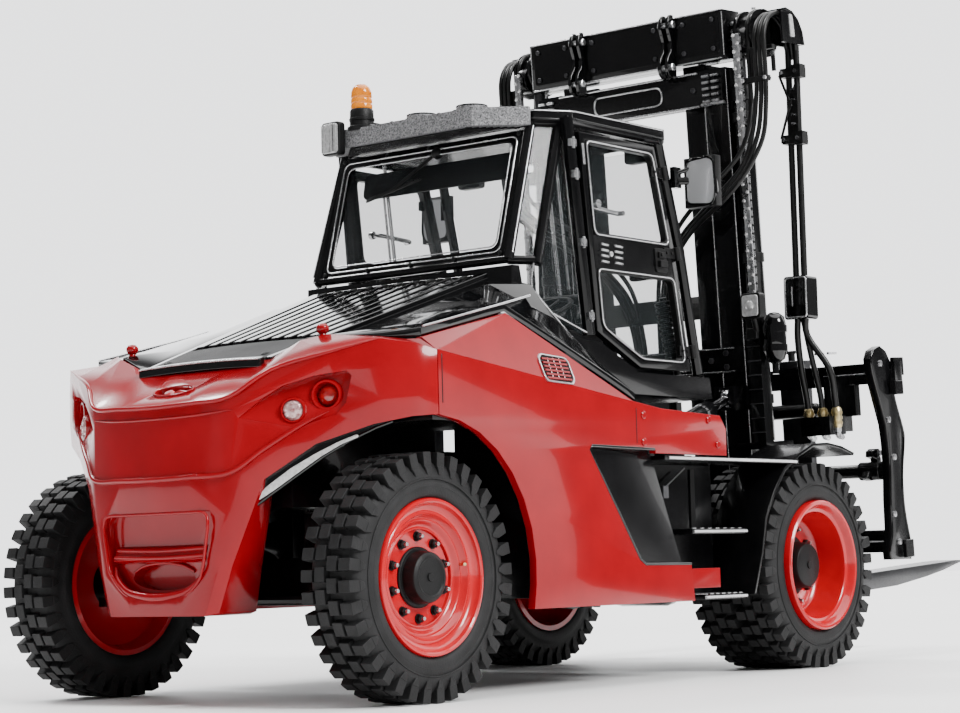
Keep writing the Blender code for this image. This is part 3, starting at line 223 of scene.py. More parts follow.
class Shape:
    """Bodies collected in truck millimetres."""

    def __init__(self, change=None):
        self.verts = []
        self.faces = []
        self.change = change

    def add(self, verts, faces, change=None):
        base = len(self.verts)
        for p in verts:
            p = tuple(p)
            if change:
                p = change(p)
            if self.change:
                p = self.change(p)
            self.verts.append(tuple(p))
        self.faces += [tuple(base + i for i in f) for f in faces]
        return self

    def box(self, lo, hi):
        (a, b, c), (d, e, f) = lo, hi
        verts = [(a, b, c), (d, b, c), (d, e, c), (a, e, c), (a, b, f), (d, b, f), (d, e, f),
                 (a, e, f)]
        faces = [(0, 3, 2, 1), (4, 5, 6, 7), (0, 1, 5, 4), (1, 2, 6, 5), (2, 3, 7, 6),
                 (3, 0, 4, 7)]
        return self.add(verts, faces)

    def prism(self, outline, axis, a0, a1, change=None):
        order = AXIS_ORDER[axis]
        verts = [order(p, a) for a in (a0, a1) for p in outline]
        return self.add(verts, slab_faces(len(outline)), change)

    def lathe(self, profile, centre, axis="x", sides=32, change=None, loop=True):
        """Turned body. profile holds (distance along, radius); loop closes it on itself."""
        order = AXIS_ORDER[axis]
        verts = []
        rings = []
        for a, r in profile:
            if r < 1e-6:
                rings.append([len(verts)])
                verts.append(order(centre, a))
                continue
            rings.append(list(range(len(verts), len(verts) + sides)))
            for k in range(sides):
                t = 2.0 * math.pi * k / sides
                verts.append(order((centre[0] + r * math.cos(t), centre[1] + r * math.sin(t)), a))
        faces = []
        count = len(rings)
        for i in range(count if loop else count - 1):
            p = rings[i]
            q = rings[(i + 1) % count]
            for k in range(sides):
                m = (k + 1) % sides
                if len(p) == 1 and len(q) == 1:
                    continue
                if len(p) == 1:
                    faces.append((p[0], q[m], q[k]))
                elif len(q) == 1:
                    faces.append((p[k], p[m], q[0]))
                else:
                    faces.append((p[k], p[m], q[m], q[k]))
        return self.add(verts, faces, change)

    def tube(self, points, radius, sides=8, change=None, closed=False):
        pts = [Vector(p) for p in points]
        n = len(pts)
        verts = []
        normal = None
        for i, p in enumerate(pts):
            if closed:
                along = pts[(i + 1) % n] - pts[i - 1]
            else:
                along = pts[min(i + 1, n - 1)] - pts[max(i - 1, 0)]
            along.normalize()
            if normal is None:
                ref = Vector((0, 0, 1)) if abs(along.z) < 0.8 else Vector((0, 1, 0))
                normal = along.cross(ref).normalized()
            else:
                normal = (normal - along * normal.dot(along)).normalized()
            other = along.cross(normal)
            r = radius(i / (n - 1)) if callable(radius) else radius
            for k in range(sides):
                t = 2.0 * math.pi * k / sides
                verts.append(tuple(p + normal * (r * math.cos(t)) + other * (r * math.sin(t))))
        faces = []
        for i in range(n if closed else n - 1):
            j = (i + 1) % n
            for k in range(sides):
                m = (k + 1) % sides
                faces.append((i * sides + k, i * sides + m, j * sides + m, j * sides + k))
        if not closed:
            faces.append(tuple(range(sides - 1, -1, -1)))
            faces.append(tuple(range((n - 1) * sides, n * sides)))
        return self.add(verts, faces, change)

    def rod(self, p0, p1, radius, sides=12):
        return self.tube([p0, p1], radius, sides)

    def nut(self, centre, axis, across, height):
        """Hexagon head standing on a surface along an axis."""
        a = Vector(axis).normalized()
        c = Vector(centre)
        return self.tube([c, c + a * height * 0.8, c + a * height],
                         lambda t: across * (0.577 if t < 0.9 else 0.46), 6)


def smooth_path(points, per=6):
    """Catmull-Rom curve through the points."""
    pts = [Vector(p) for p in points]
    pts = [pts[0] * 2 - pts[1]] + pts + [pts[-1] * 2 - pts[-2]]
    out = []
    for i in range(1, len(pts) - 2):
        a, b, c, d = pts[i - 1:i + 3]
        for k in range(per):
            t = k / per
            out.append(0.5 * ((2 * b) + (c - a) * t + (2 * a - 5 * b + 4 * c - d) * t * t +
                              (3 * b - a - 3 * c + d) * t ** 3))
    out.append(pts[-2])
    return [tuple(p) for p in out]


def mesh_from(name, shape):
    mesh = bpy.data.meshes.new(name)
    mesh.from_pydata([tuple(world(p)) for p in shape.verts], [], shape.faces)
    bm = bmesh.new()
    bm.from_mesh(mesh)
    bmesh.ops.remove_doubles(bm, verts=bm.verts, dist=1e-7)
    bmesh.ops.recalc_face_normals(bm, faces=bm.faces)
    bm.to_mesh(mesh)
    bm.free()
    return mesh


def placed(name, data):
    """A new object in the scene."""
    obj = bpy.data.objects.new(name, data)
    bpy.context.scene.collection.objects.link(obj)
    return obj


def add_bevel(obj, width, segments, limit):
    mod = obj.modifiers.new("Bevel", "BEVEL")
    mod.width = width
    mod.segments = segments
    mod.limit_method = "ANGLE"
    mod.angle_limit = limit
    mod.harden_normals = True


def make(name, shape, body, mat, bevel=0.0, segments=2, angle=35.0, replaces=(),
         bevel_angle=40.0):
    """A finished piece that rides on a body: bevelled, or sharp above an angle."""
    mesh = mesh_from(name, shape)
    obj = placed(name, mesh)
    mesh.materials.append(MATS[mat])
    mesh.shade_smooth()
    if bevel > 0.0:
        add_bevel(obj, bevel * MM, segments, math.radians(bevel_angle))
    else:
        mesh.set_sharp_from_angle(angle=math.radians(angle))
    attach(obj, body)
    if replaces:
        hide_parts(*replaces)
    return obj


def freeze(obj):
    """Freeze an object's modifiers into its mesh."""
    graph = bpy.context.evaluated_depsgraph_get()
    mesh = bpy.data.meshes.new_from_object(obj.evaluated_get(graph))
    obj.modifiers.clear()
    obj.data = mesh


def refine(node, body, mat, bevel):
    """A welded copy of a CAD node with softened edges, standing for that node."""
    bm = bmesh.new()
    bm.from_mesh(NODES[node].data)
    bmesh.ops.remove_doubles(bm, verts=bm.verts, dist=2e-6)
    bmesh.ops.dissolve_limit(bm, angle_limit=math.radians(0.6), verts=bm.verts, edges=bm.edges)
    bmesh.ops.recalc_face_normals(bm, faces=bm.faces)
    mesh = bpy.data.meshes.new(node + "_finished")
    bm.to_mesh(mesh)
    bm.free()
    obj = placed(node + "_finished", mesh)
    mesh.materials.append(MATS[mat])
    mesh.shade_smooth()
    if bevel > 0.0:
        add_bevel(obj, bevel * MM, 2, math.radians(28.0))
    else:
        mesh.set_sharp_from_angle(angle=math.radians(40.0))
    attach(obj, body)
    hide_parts(node)
    return obj


# ------------------------------------------------------------ wheels

TREAD_PITCHES = 36
TREAD_TOP = 41.5


def lugged_tyre(name, x0, x1, centre_y, side, body, node):
    """Tyre between widths x0 and x1: turned wall, tread blocks and shoulder tongues."""
    mid = (x0 + x1) / 2.0
    half = (x1 - x0) / 2.0
    shape = Shape(flip(side))
    sections = TREAD_PITCHES * 2
    profile = [(half - 1.4, 26.5), (half - 0.7, 26.9), (half - 0.2, 27.9), (half + 0.1, 29.4),
               (half + 0.1, 31.2), (half - 0.3, 31.8), (half - 0.1, 33.6), (half - 0.5, 35.6),
               (half - 1.4, 37.4), (half - 3.0, 38.5), (half * 0.5, 38.8), (0.0, 38.9)]
    profile = profile + [(-a, r) for a, r in profile[-2::-1]]
    profile += [(1.6 - half, 26.3), (half - 1.6, 26.3)]
    shape.lathe([(mid + a, r) for a, r in profile], (centre_y, WHEEL_Z), "x", sections)

    def block(u0, u1, a0, a1, deep0, deep1):
        """Tread block between widths u0..u1 and angles a0..a1."""
        verts = []
        count = 3
        for u, deep in ((u0, deep0), (u1, deep1)):
            for k in range(count):
                t = a0 + (a1 - a0) * k / (count - 1)
                for r, draw in ((deep, 0.0), (TREAD_TOP, 0.1)):
                    squeeze = draw * (0.5 - k / (count - 1)) * (a1 - a0) * 0.9
                    uu = u + draw * (-2.6 if u == max(u0, u1) else 2.6)
                    verts.append((mid + uu, centre_y + r * math.cos(t + squeeze),
                                  WHEEL_Z + r * math.sin(t + squeeze)))
        faces = []
        stride = count * 2
        for k in range(count - 1):
            i = k * 2
            faces.append((i, i + 1, i + 3, i + 2))
            faces.append((stride + i, stride + i + 2, stride + i + 3, stride + i + 1))
            faces.append((i + 1, stride + i + 1, stride + i + 3, i + 3))
            faces.append((i, i + 2, stride + i + 2, stride + i))
        faces.append((0, stride, stride + 1, 1))
        last = (count - 1) * 2
        faces.append((last, last + 1, stride + last + 1, stride + last))
        shape.add(verts, faces)

    pitch = 2.0 * math.pi / TREAD_PITCHES
    for k in range(TREAD_PITCHES):
        a = k * pitch
        block(half * 0.50, half + 0.1, a, a + pitch * 0.60, 37.6, 36.6)
        block(-half - 0.1, -half * 0.50, a + pitch * 0.5, a + pitch * 1.1, 36.6, 37.6)
        block(half * 0.02, half * 0.46, a - pitch * 0.12, a + pitch * 0.62, 37.8, 37.8)
        block(-half * 0.46, -half * 0.02, a + pitch * 0.38, a + pitch * 1.12, 37.8, 37.8)
        for sign, shift in ((1.0, 0.0), (-1.0, 0.5)):
            tongue = [(half + 0.2, 36.8), (half + 0.35, 35.2), (half + 0.1, 33.9)]
            b0 = a + pitch * shift
            b1 = b0 + pitch * 0.6
            verts = []
            for t in (b0, b1):
                for u, r in tongue + [(half - 1.6, 33.9), (half - 1.6, 36.9)]:
                    squeeze = (36.8 - r) * 0.012 * (1 if t == b0 else -1)
                    verts.append((mid + sign * u, centre_y + r * math.cos(t + squeeze),
                                  WHEEL_Z + r * math.sin(t + squeeze)))
            shape.add(verts, slab_faces(5))
    for r0 in (32.6, 30.2):
        ridge = [(mid + half - 0.4, r0 - 0.35), (mid + half + 0.22, r0 - 0.2),
                 (mid + half + 0.22, r0 + 0.2), (mid + half - 0.4, r0 + 0.35)]
        shape.lathe(ridge, (centre_y, WHEEL_Z), "x", sections)
    return make(name, shape, body, "tyre_rubber", bevel=0.22, segments=1, replaces=(node,),
                bevel_angle=50.0)


for word, side in SIDES:
    body = "steer_wheel_" + word
    lugged_tyre("tread_steer_" + word, 63.0, 84.5, 0.0, side, body, "tyre_steer_" + word)
    body = "drive_wheel_" + word
    lugged_tyre("tread_drive_%s_outer" % word, 70.2, 88.0, DRIVE_Y, side, body,
                "tyre_drive_%s_outer" % word)
    lugged_tyre("tread_drive_%s_inner" % word, 51.0, 68.9, DRIVE_Y, side, body,
                "tyre_drive_%s_inner" % word)


# Profiles are (distance from the middle plane, radius). ring is the nuts' radius and first
# angle, nut its (distance, width across, height), valve its path from the wheel's middle.
WHEELS = {
    "steer": {
        "y": 0.0,
        "rim": [(64.6, 26.3), (83.6, 26.3), (84.3, 25.9), (84.4, 25.2), (84.0, 24.7), (83.0, 24.4),
                (82.0, 23.9), (81.4, 22.9), (81.2, 22.2), (81.6, 21.6), (81.6, 21.0), (80.4, 20.4),
                (79.6, 19.6), (79.8, 19.0), (79.4, 18.4), (78.4, 17.9), (77.9, 17.2), (77.8, 16.9),
                (78.2, 16.4), (78.2, 16.0), (77.2, 15.7), (77.0, 15.2), (77.0, 9.0), (72.6, 9.0),
                (72.6, 18.0), (70.0, 22.4), (64.2, 24.4)],
        "hub": [(75.8, 0.0), (75.8, 10.2), (77.6, 10.2), (78.0, 9.8), (78.0, 8.9), (81.6, 8.6),
                (82.6, 8.3), (83.3, 7.2), (83.4, 6.6), (82.9, 6.1), (82.8, 0.0)],
        "cap": [(82.6, 1.5), (83.3, 1.4), (83.3, 0.0)],
        "ring": (13.6, 18.0), "washer": [(76.6, 0.0), (76.6, 1.75), (77.4, 1.7), (77.5, 0.0)],
        "nut": (77.3, 2.5, 1.5),
        "stud": [(78.2, 0.0), (78.2, 0.75), (79.9, 0.7), (80.1, 0.5), (80.1, 0.0)],
        "valve": [(79.6, 18.9, 4.0), (81.6, 18.6, 4.0), (82.8, 18.0, 4.0)],
        "valve_radius": 0.55, "valve_metal": "brass"},
    "drive": {
        "y": DRIVE_Y,
        "rim": [(51.0, 26.3), (88.0, 26.3), (89.4, 26.1), (89.9, 25.4), (89.8, 24.6), (89.2, 24.0),
                (88.0, 23.6), (87.0, 22.9), (86.8, 22.2), (86.4, 21.7), (85.0, 21.4), (75.0, 20.6),
                (74.2, 20.0), (73.6, 19.0), (73.0, 17.6), (73.0, 9.4), (70.0, 9.4), (69.0, 18.0),
                (66.0, 22.0), (51.0, 24.2)],
        "hub": [(71.0, 0.0), (71.0, 12.6), (73.8, 12.6), (74.2, 12.2), (74.2, 9.8), (81.0, 9.2),
                (82.2, 8.6), (82.6, 7.6), (82.7, 0.0)],
        "cap": [(82.4, 1.6), (83.2, 1.5), (83.2, 0.0)],
        "ring": (15.4, 0.0), "washer": None, "nut": (72.8, 2.6, 1.8),
        "stud": [(74.4, 0.0), (74.4, 0.8), (76.2, 0.7), (76.3, 0.0)],
        "valve": [(73.6, -18.6, -2.0), (79.0, -19.6, -2.0), (84.6, -20.0, -2.2)],
        "valve_radius": 0.6, "valve_metal": "chain_steel"},
}


def wheel_face(kind, word, side):
    """Rim, hub, nuts, studs and valve of one wheel."""
    look = WHEELS[kind]
    tail = "%s_%s" % (kind, word)
    body = "%s_wheel_%s" % (kind, word)
    mirror = flip(side)
    centre = (look["y"], WHEEL_Z)
    make("rim_disc_" + tail, Shape(mirror).lathe(look["rim"], centre, "x", 96), body, "red_rim",
         angle=34.0, replaces=("rim_" + tail,))
    hub = Shape(mirror).lathe(look["hub"], centre, "x", 48)
    hub.lathe(look["cap"], centre, "x", 16, loop=False)
    make("hub_" + tail, hub, body, "black_plastic", bevel=0.15, segments=1)
    nuts = Shape(mirror)
    studs = Shape(mirror)
    radius, start = look["ring"]
    out, wide, high = look["nut"]
    for k in range(10):
        t = math.radians(36.0 * k + start)
        y, z = look["y"] + radius * math.cos(t), WHEEL_Z + radius * math.sin(t)
        if look["washer"]:
            nuts.lathe(look["washer"], (y, z), "x", 16)
        nuts.nut((out, y, z), (1, 0, 0), wide, high)
        studs.lathe(look["stud"], (y, z), "x", 12)
    make("nuts_" + tail, nuts, body, "black_plastic", angle=30.0)
    make("studs_" + tail, studs, body, "chain_steel", angle=30.0)
    path = [(x, look["y"] + y, WHEEL_Z + z) for x, y, z in look["valve"]]
    make("valve_" + tail, Shape(mirror).tube(path, look["valve_radius"], 8), body,
         look["valve_metal"], angle=30.0)


for word, side in SIDES:
    for kind in WHEELS:
        wheel_face(kind, word, side)


# ------------------------------------------------------------ shaping and placing

def carve(obj, shape):
    """Cut a shape out of a finished piece, under its bevel."""
    mesh = mesh_from("tool", shape)
    bm = bmesh.new()
    bm.from_mesh(mesh)
    bmesh.ops.triangulate(bm, faces=bm.faces)
    bmesh.ops.recalc_face_normals(bm, faces=bm.faces)
    bm.to_mesh(mesh)
    bm.free()
    tool = placed("tool", mesh)
    bevels = [m for m in obj.modifiers if m.type == "BEVEL"]
    kept = [(m.width, m.segments, m.angle_limit) for m in bevels]
    for m in bevels:
        obj.modifiers.remove(m)
    mod = obj.modifiers.new("Carve", "BOOLEAN")
    mod.operation = "DIFFERENCE"
    mod.solver = "EXACT"
    mod.object = tool
    freeze(obj)
    bpy.data.objects.remove(tool)
    obj.data.shade_smooth()
    for width, segments, limit in kept:
        add_bevel(obj, width, segments, limit)


TREES = {}


def touch(node, start, direction):
    """First point (truck mm) and normal where a ray meets a CAD node."""
    if node not in TREES:
        data = NODES[node].data
        TREES[node] = BVHTree.FromPolygons([v.co.copy() for v in data.vertices],
                                           [tuple(p.vertices) for p in data.polygons])
    hit, normal, _, _ = TREES[node].ray_cast(world(start), Vector(direction).normalized())
    if hit is None:
        return None
    return (hit.x / MM, hit.y / MM - DATUM_Y, hit.z / MM), normal


def side_x(word, y, z):
    """Distance from the middle plane to the outer skin of a side panel."""
    sign = 1.0 if word == "right" else -1.0
    for lower in (0.0, 1.0, 2.0, 4.0, 6.0):
        found = touch("side_panel_" + word, (sign * 140.0, y, z - lower), (-sign, 0, 0))
        if found:
            return abs(found[0][0])
    raise ValueError("no side panel at y %.1f, z %.1f" % (y, z))


def rounded(outline, radius, steps=4):
    """Polygon with every corner rounded."""
    out = []
    n = len(outline)
    for i in range(n):
        a, b, c = (Vector(outline[(i + k - 1) % n]).to_2d() for k in range(3))
        r = min(radius, (a - b).length * 0.45, (c - b).length * 0.45)
        p = b + (a - b).normalized() * r
        q = b + (c - b).normalized() * r
        for k in range(steps + 1):
            t = k / steps
            out.append(tuple(p * (1 - t) ** 2 + b * 2 * t * (1 - t) + q * t * t))
    return out


def oval(cx, cy, rx, ry, n=32):
    return [(cx + rx * math.cos(2 * math.pi * k / n), cy + ry * math.sin(2 * math.pi * k / n))
            for k in range(n)]


def frame_strip(shape, outer, inner, axis, a0, a1, change=None):
    """Flat ring between two outlines with the same number of points."""
    order = AXIS_ORDER[axis]
    n = len(outer)
    verts = [order(p, a) for a in (a0, a1) for ring in (outer, inner) for p in ring]
    faces = []
    for i in range(n):
        j = (i + 1) % n
        faces.append((i, j, n + j, n + i))
        faces.append((2 * n + i, 3 * n + i, 3 * n + j, 2 * n + j))
        faces.append((i, 2 * n + i, 2 * n + j, j))
        faces.append((n + i, n + j, 3 * n + j, 3 * n + i))
    shape.add(verts, faces, change)


def scaled(outline, across, up, centre=None):
    """Outline drawn in or out from its centre."""
    if centre is None:
        centre = [sum(p[k] for p in outline) / len(outline) for k in (0, 1)]
    a, b = centre
    return [(a + (p - a) * across, b + (q - b) * up) for p, q in outline]


# ------------------------------------------------------------ finished CAD nodes

SLOT_OF = {s["node"]: s["material_slot"] for s in frame["record"]["subparts"]}
REBUILT = {p + w for w in ("right", "left") for p in ("tyre_steer_", "rim_steer_", "rim_drive_")}
REBUILT |= {"tyre_drive_%s_%s" % (w, k) for w in ("right", "left") for k in ("outer", "inner")}
REBUILT |= {"engine_hood"}
SOFT_EDGE = {"counterweight": 0.8, "driver_seat": 1.6, "mast_crosshead": 0.45, "carriage": 0.5,
             "roof_unit": 0.6, "beacon": 0.0, "side_panel_right": 0.5,
             "side_panel_left": 0.5}
DONE = {}
for body, members in frame["record"]["behaviour"]["bodies"].items():
    for node in members:
        if node in REBUILT or node.startswith("hose_drop"):
            continue
        DONE[node] = refine(node, body, SLOT_OF[node], SOFT_EDGE.get(node, 0.3))


# ------------------------------------------------------------ counterweight

WING_START = (45.0, -35.0)
WING_ALONG = Vector((0.849, 0.528))


def on_wing(side):
    """(along, outwards, up) on the slanted rear wing."""
    def place(p):
        u, n, z = p
        x = WING_START[0] + u * WING_ALONG[0] + n * WING_ALONG[1]
        y = WING_START[1] + u * WING_ALONG[1] - n * WING_ALONG[0]
        return (side * x, y, z)
    return place


def slanted_pocket(outline, depths, change):
    """Cutter with a floor at its own depth under each corner."""
    verts = [(u, 6.0, z) for u, z in outline]
    verts += [(u, -d, z) for (u, z), d in zip(outline, depths)]
    return Shape().add(verts, slab_faces(len(outline)), change)


weight = DONE["counterweight"]
mouth = rounded([(-26.2, 65.0), (26.2, 65.0), (22.6, 44.0), (14.0, 36.6), (-14.0, 36.6),
                 (-22.6, 44.0)], 5.0, 5)
carve(weight, Shape().prism(mouth, "y", -60.0, -41.2))
carve(weight, Shape().prism(oval(0.0, 43.6, 15.5, 4.4), "y", -60.0, -37.0))
TOW_SLOPE = Vector((0.0, -0.514, 0.857))


def on_ledge(p):
    """(across, along the slope, above it) round the tow pin."""
    x, s, n = p
    return (x, -36.0 + s * 0.857 + n * TOW_SLOPE.y, 107.0 + s * 0.514 + n * TOW_SLOPE.z)


carve(weight, Shape().prism(oval(0.0, 0.0, 8.6, 2.9), "z", -3.5, 5.0, on_ledge))
POCKET = [(-11.0, 95.6), (-3.5, 101.5), (4.0, 105.8), (14.5, 108.7), (25.8, 110.2), (27.4, 108.4),
          (25.4, 99.6), (22.0, 95.6), (8.0, 91.8)]
POCKET_DEPTH = [0.1, 2.6, 3.4, 3.6, 3.0, 2.6, 1.4, 0.3, -0.2]
for word, side in SIDES:
    place = on_wing(side)
    carve(weight, slanted_pocket(POCKET, POCKET_DEPTH, place))
    well = Shape()
    well.lathe([(-7.2, 0.0), (-7.2, 3.9), (3.0, 4.4), (3.0, 0.0)], (18.5, 102.4), "y", 28,
               place)
    carve(weight, well)
    ring = Shape()
    ring.lathe([(-4.2, 5.4), (-1.7, 5.4), (-0.9, 4.9), (-0.9, 4.2), (-4.6, 3.8), (-6.4, 3.6),
                (-6.6, 4.4)], (18.5, 102.4), "y", 40, place)
    make("lamp_well_" + word, ring, "truck_body", "red_paint", angle=32.0)
    lens = Shape()
    lens.lathe([(-6.6, 0.0), (-6.6, 3.7), (-5.4, 3.5), (-4.4, 2.4), (-4.0, 0.0)], (18.5, 102.4),
               "y", 32, place)
    make("tail_lens_" + word, lens, "truck_body", "red_lens", angle=50.0)
    bezel = Shape()
    bezel.lathe([(-3.4, 4.4), (-0.6, 4.4), (0.2, 4.0), (0.2, 3.5), (-2.4, 3.4)], (7.4, 97.6), "y",
                36, place)
    make("lamp_bezel_" + word, bezel, "truck_body", "red_paint", angle=32.0)
    glass = Shape()
    glass.lathe([(-2.2, 0.0), (-2.2, 3.5), (-0.4, 3.4), (0.5, 2.5), (0.9, 1.2), (1.0, 0.0)],
                (7.4, 97.6), "y", 32, place)
    for a in range(8):
        t = math.pi * a / 4.0
        glass.lathe([(-0.2, 0.0), (-0.2, 0.6), (0.75, 0.45), (0.95, 0.0)],
                    (7.4 + 2.3 * math.cos(t), 97.6 + 2.3 * math.sin(t)), "y", 8, place)
    glass.lathe([(0.4, 0.0), (0.4, 0.9), (1.4, 0.7), (1.6, 0.0)], (7.4, 97.6), "y", 12, place)
    make("rear_lens_" + word, glass, "truck_body", "lens", angle=24.0)

    guard = Shape(place)
    edge = [(-17.6, 60.6), (-15.6, 64.5), (-9.0, 70.0), (-2.6, 75.4), (6.0, 81.2), (15.1, 86.6),
            (25.0, 90.2), (34.6, 92.6), (40.0, 93.4)]
    lower = [(-17.6, 57.4), (-14.0, 60.4), (-7.0, 65.4), (0.0, 70.2), (8.0, 75.6), (17.0, 81.6),
             (26.0, 86.6), (35.0, 90.6), (40.4, 92.4)]
    for k in range(len(edge) - 1):
        quad = [edge[k], edge[k + 1], lower[k + 1], lower[k]]
        verts = [(u, n, z) for n in (-2.4, -3.4) for u, z in quad]
        guard.add(verts, slab_faces(4))
    guard.tube([(u, -2.4, z + 0.6) for u, z in lower], 0.6, 8)
    make("tail_guard_" + word, guard, "truck_body", "gloss_black", angle=40.0)
    # A pale plate laid on the black guard is a painted highlight, not a part.
    guard_highlight = Shape(place)
    upper = [(-6.6, 68.8), (-2.0, 73.0), (6.0, 78.6), (14.0, 83.0), (22.0, 86.8), (28.5, 89.2)]
    under = [(-6.0, 67.6), (0.0, 71.2), (8.0, 76.6), (16.4, 82.2), (23.4, 86.0), (29.2, 88.2)]
    outline = rounded(upper + under[::-1], 0.8, 2)
    guard_highlight.prism(outline, "y", -2.5, -1.5)
    make("guard_painted_highlight_" + word, guard_highlight, "truck_body", "pale_and_painted_highlight", bevel=0.2, segments=1)

    knob = Shape(flip(side))
    knob.lathe([(118.0, 0.0), (118.0, 2.3), (122.6, 2.3), (123.2, 1.5), (124.4, 1.2), (124.8, 1.7),
                (125.7, 2.25), (126.8, 2.2), (127.8, 1.4), (128.1, 0.0)], (47.2, -11.5), "z", 20)
    make("top_knob_" + word, knob, "truck_body", "red_paint", angle=50.0)

CREASES = {
    "brow": ([(0, -46.0, 101.0), (18, -45.2, 101.5), (33, -42.5, 102.8), (45.5, -34.5, 111.5),
              (62, -24.5, 116.5), (76.3, -15.7, 120.4)], 0.8),
    "brow_under": ([(0, -45.9, 97.0), (18, -45.1, 97.3), (34, -41.9, 98.5)], 0.45),
    "waist": ([(0, -46.1, 76.5), (17, -45.6, 76.8), (33, -42.6, 77.6), (43, -37.1, 84.7),
               (54.0, -30.3, 92.4), (62.0, -25.2, 96.8)], 0.95),
}
for line, (points, radius) in CREASES.items():
    full = [(-x, y, z) for x, y, z in points[:0:-1]] + points
    ridge = Shape()
    ridge.tube(smooth_path(full, 6),
               lambda t, r=radius: r * min(1.0, 0.15 + 6.0 * t, 6.15 - 6.0 * t), 12)
    make("tail_" + line, ridge, "truck_body", "red_paint", angle=70.0)

rim_line = Shape()
rim_line.tube([(x, -45.75 + (0.5 if z < 45 else 0.0), z) for x, z in mouth], 0.55, 8, closed=True)
make("mouth_rim", rim_line, "truck_body", "red_paint", angle=60.0)
bars = Shape()
for z, half, y in ((53.0, 21.8, -43.6), (50.6, 22.6, -44.3)):
    path = [(-half, y + 1.2, z + 0.2), (-half * 0.85, y + 0.2, z), (0, y, z - 0.5),
            (half * 0.85, y + 0.2, z), (half, y + 1.2, z + 0.2)]
    bars.tube(smooth_path(path, 5), 0.75, 10)
lip = [(-21.8, -43.6, 47.4), (-20.4, -44.2, 43.4), (-14.5, -44.7, 38.9), (-6.0, -44.9, 37.2),
       (0, -45.0, 36.9), (6.0, -44.9, 37.2), (14.5, -44.7, 38.9), (20.4, -44.2, 43.4),
       (21.8, -43.6, 47.4)]
bars.tube(smooth_path(lip, 5), lambda t: 0.5 + 1.0 * math.sin(math.pi * t), 12)
make("mouth_bars", bars, "truck_body", "red_paint", angle=60.0)
ledge = Shape()
ledge.prism([(-44.6, 49.6), (-43.8, 50.6), (-43.2, 53.2), (-41.0, 54.4), (-40.0, 54.4),
             (-40.0, 48.4), (-42.6, 48.4)], "x", -22.3, 22.3)
make("mouth_ledge", ledge, "truck_body", "red_paint", bevel=0.3)
brow = Shape()
brow.tube(smooth_path([(-14.6, -41.4, 45.4), (-9.0, -42.0, 47.6), (0, -42.2, 48.4),
                       (9.0, -42.0, 47.6), (14.6, -41.4, 45.4)], 5), 0.55, 8)
make("mouth_brow", brow, "truck_body", "red_paint", angle=60.0)
pin = Shape()
pin.lathe([(-3.6, 0.0), (-3.6, 2.0), (-0.6, 2.0), (-0.1, 1.5), (0.0, 0.0)], (-2.6, 0.0), "z", 20,
          on_ledge)
pin.tube([on_ledge((-0.8, 0.0, -1.2)), on_ledge((2.6, 0.3, -0.6)), on_ledge((5.6, 0.0, -1.0))],
         0.7, 8)
make("tow_pin", pin, "truck_body", "red_lens", angle=40.0)
rim = Shape()
outer = [on_ledge((x, s, 0.12)) for x, s in oval(0.0, 0.0, 9.3, 3.5, 40)]
rim.tube(outer, 0.42, 8, closed=True)
make("tow_pin_rim", rim, "truck_body", "red_paint", angle=60.0)


# ------------------------------------------------------------ hood and shoulders

HOOD_ROWS = [(-20.0, 31.4), (-5.0, 33.4), (30.0, 37.6), (60.0, 41.3), (82.5, 43.9)]


def hood_half(y):
    for (y0, h0), (y1, h1) in zip(HOOD_ROWS, HOOD_ROWS[1:]):
        if y <= y1:
            return h0 + (h1 - h0) * (y - y0) / (y1 - y0)
    return HOOD_ROWS[-1][1]


def hood_top(share, y):
    return 117.4 + 0.3466 * (y + 20.0) + 0.8 * (1.0 - share * share)


def hood_strip(shape, share0, share1, y0, y1, low, high, rows=8, columns=2):
    """Slab on the hood between two shares of its half width; heights are from the skin."""
    front = []
    for i in range(rows + 1):
        y = y0 + (y1 - y0) * i / rows
        for j in range(columns + 1):
            share = share0 + (share1 - share0) * j / columns
            front.append((share * hood_half(y), y, hood_top(share, y)))
    n = len(front)
    verts = [(x, y, z + high) for x, y, z in front] + [(x, y, z + low) for x, y, z in front]
    faces = []
    w = columns + 1
    for i in range(rows):
        for j in range(columns):
            a = i * w + j
            faces.append((a, a + 1, a + w + 1, a + w))
            faces.append((n + a, n + a + w, n + a + w + 1, n + a + 1))
    ring = [j for j in range(w)] + [i * w + columns for i in range(1, rows + 1)]
    ring += [rows * w + j for j in range(columns - 1, -1, -1)]
    ring += [i * w for i in range(rows - 1, 0, -1)]
    for a, b in zip(ring, ring[1:] + ring[:1]):
        faces.append((a, n + a, n + b, b))
    shape.add(verts, faces)


lid = Shape()
hood_strip(lid, -1.0, 1.0, -20.0, 82.5, -3.4, -1.7, 10, 10)
make("hood_pan", lid, "hood_lid", "black_paint", bevel=0.25, replaces=("engine_hood",))
apron = Shape()
hood_strip(apron, -0.9, 0.9, -22.6, 2.0, -1.9, 0.0, 4, 8)
make("hood_apron", apron, "hood_lid", "tyre_rubber", bevel=0.35)
edges = Shape()
hood_strip(edges, 0.9, 1.0, -20.0, 82.5, -1.9, 0.1, 12, 1)
hood_strip(edges, -1.0, -0.9, -20.0, 82.5, -1.9, 0.1, 12, 1)
hood_strip(edges, -0.97, 0.97, -24.6, -22.2, -2.2, 0.9, 1, 10)
hood_strip(edges, -0.9, 0.9, 80.0, 82.5, -1.9, 0.0, 1, 10)
make("hood_border", edges, "hood_lid", "gloss_black", bevel=0.45)
ribs = Shape()
stops = Shape()
RIBS = 10
for k in range(RIBS):
    mid = -0.82 + 1.64 * k / (RIBS - 1)
    hood_strip(ribs, mid - 0.052, mid + 0.052, 4.0, 76.0 - 1.4 * (k % 2), -1.9, 0.55, 8, 1)
    hood_strip(stops, mid - 0.03, mid + 0.03, 76.4, 79.4, -1.9, 0.25, 1, 1)
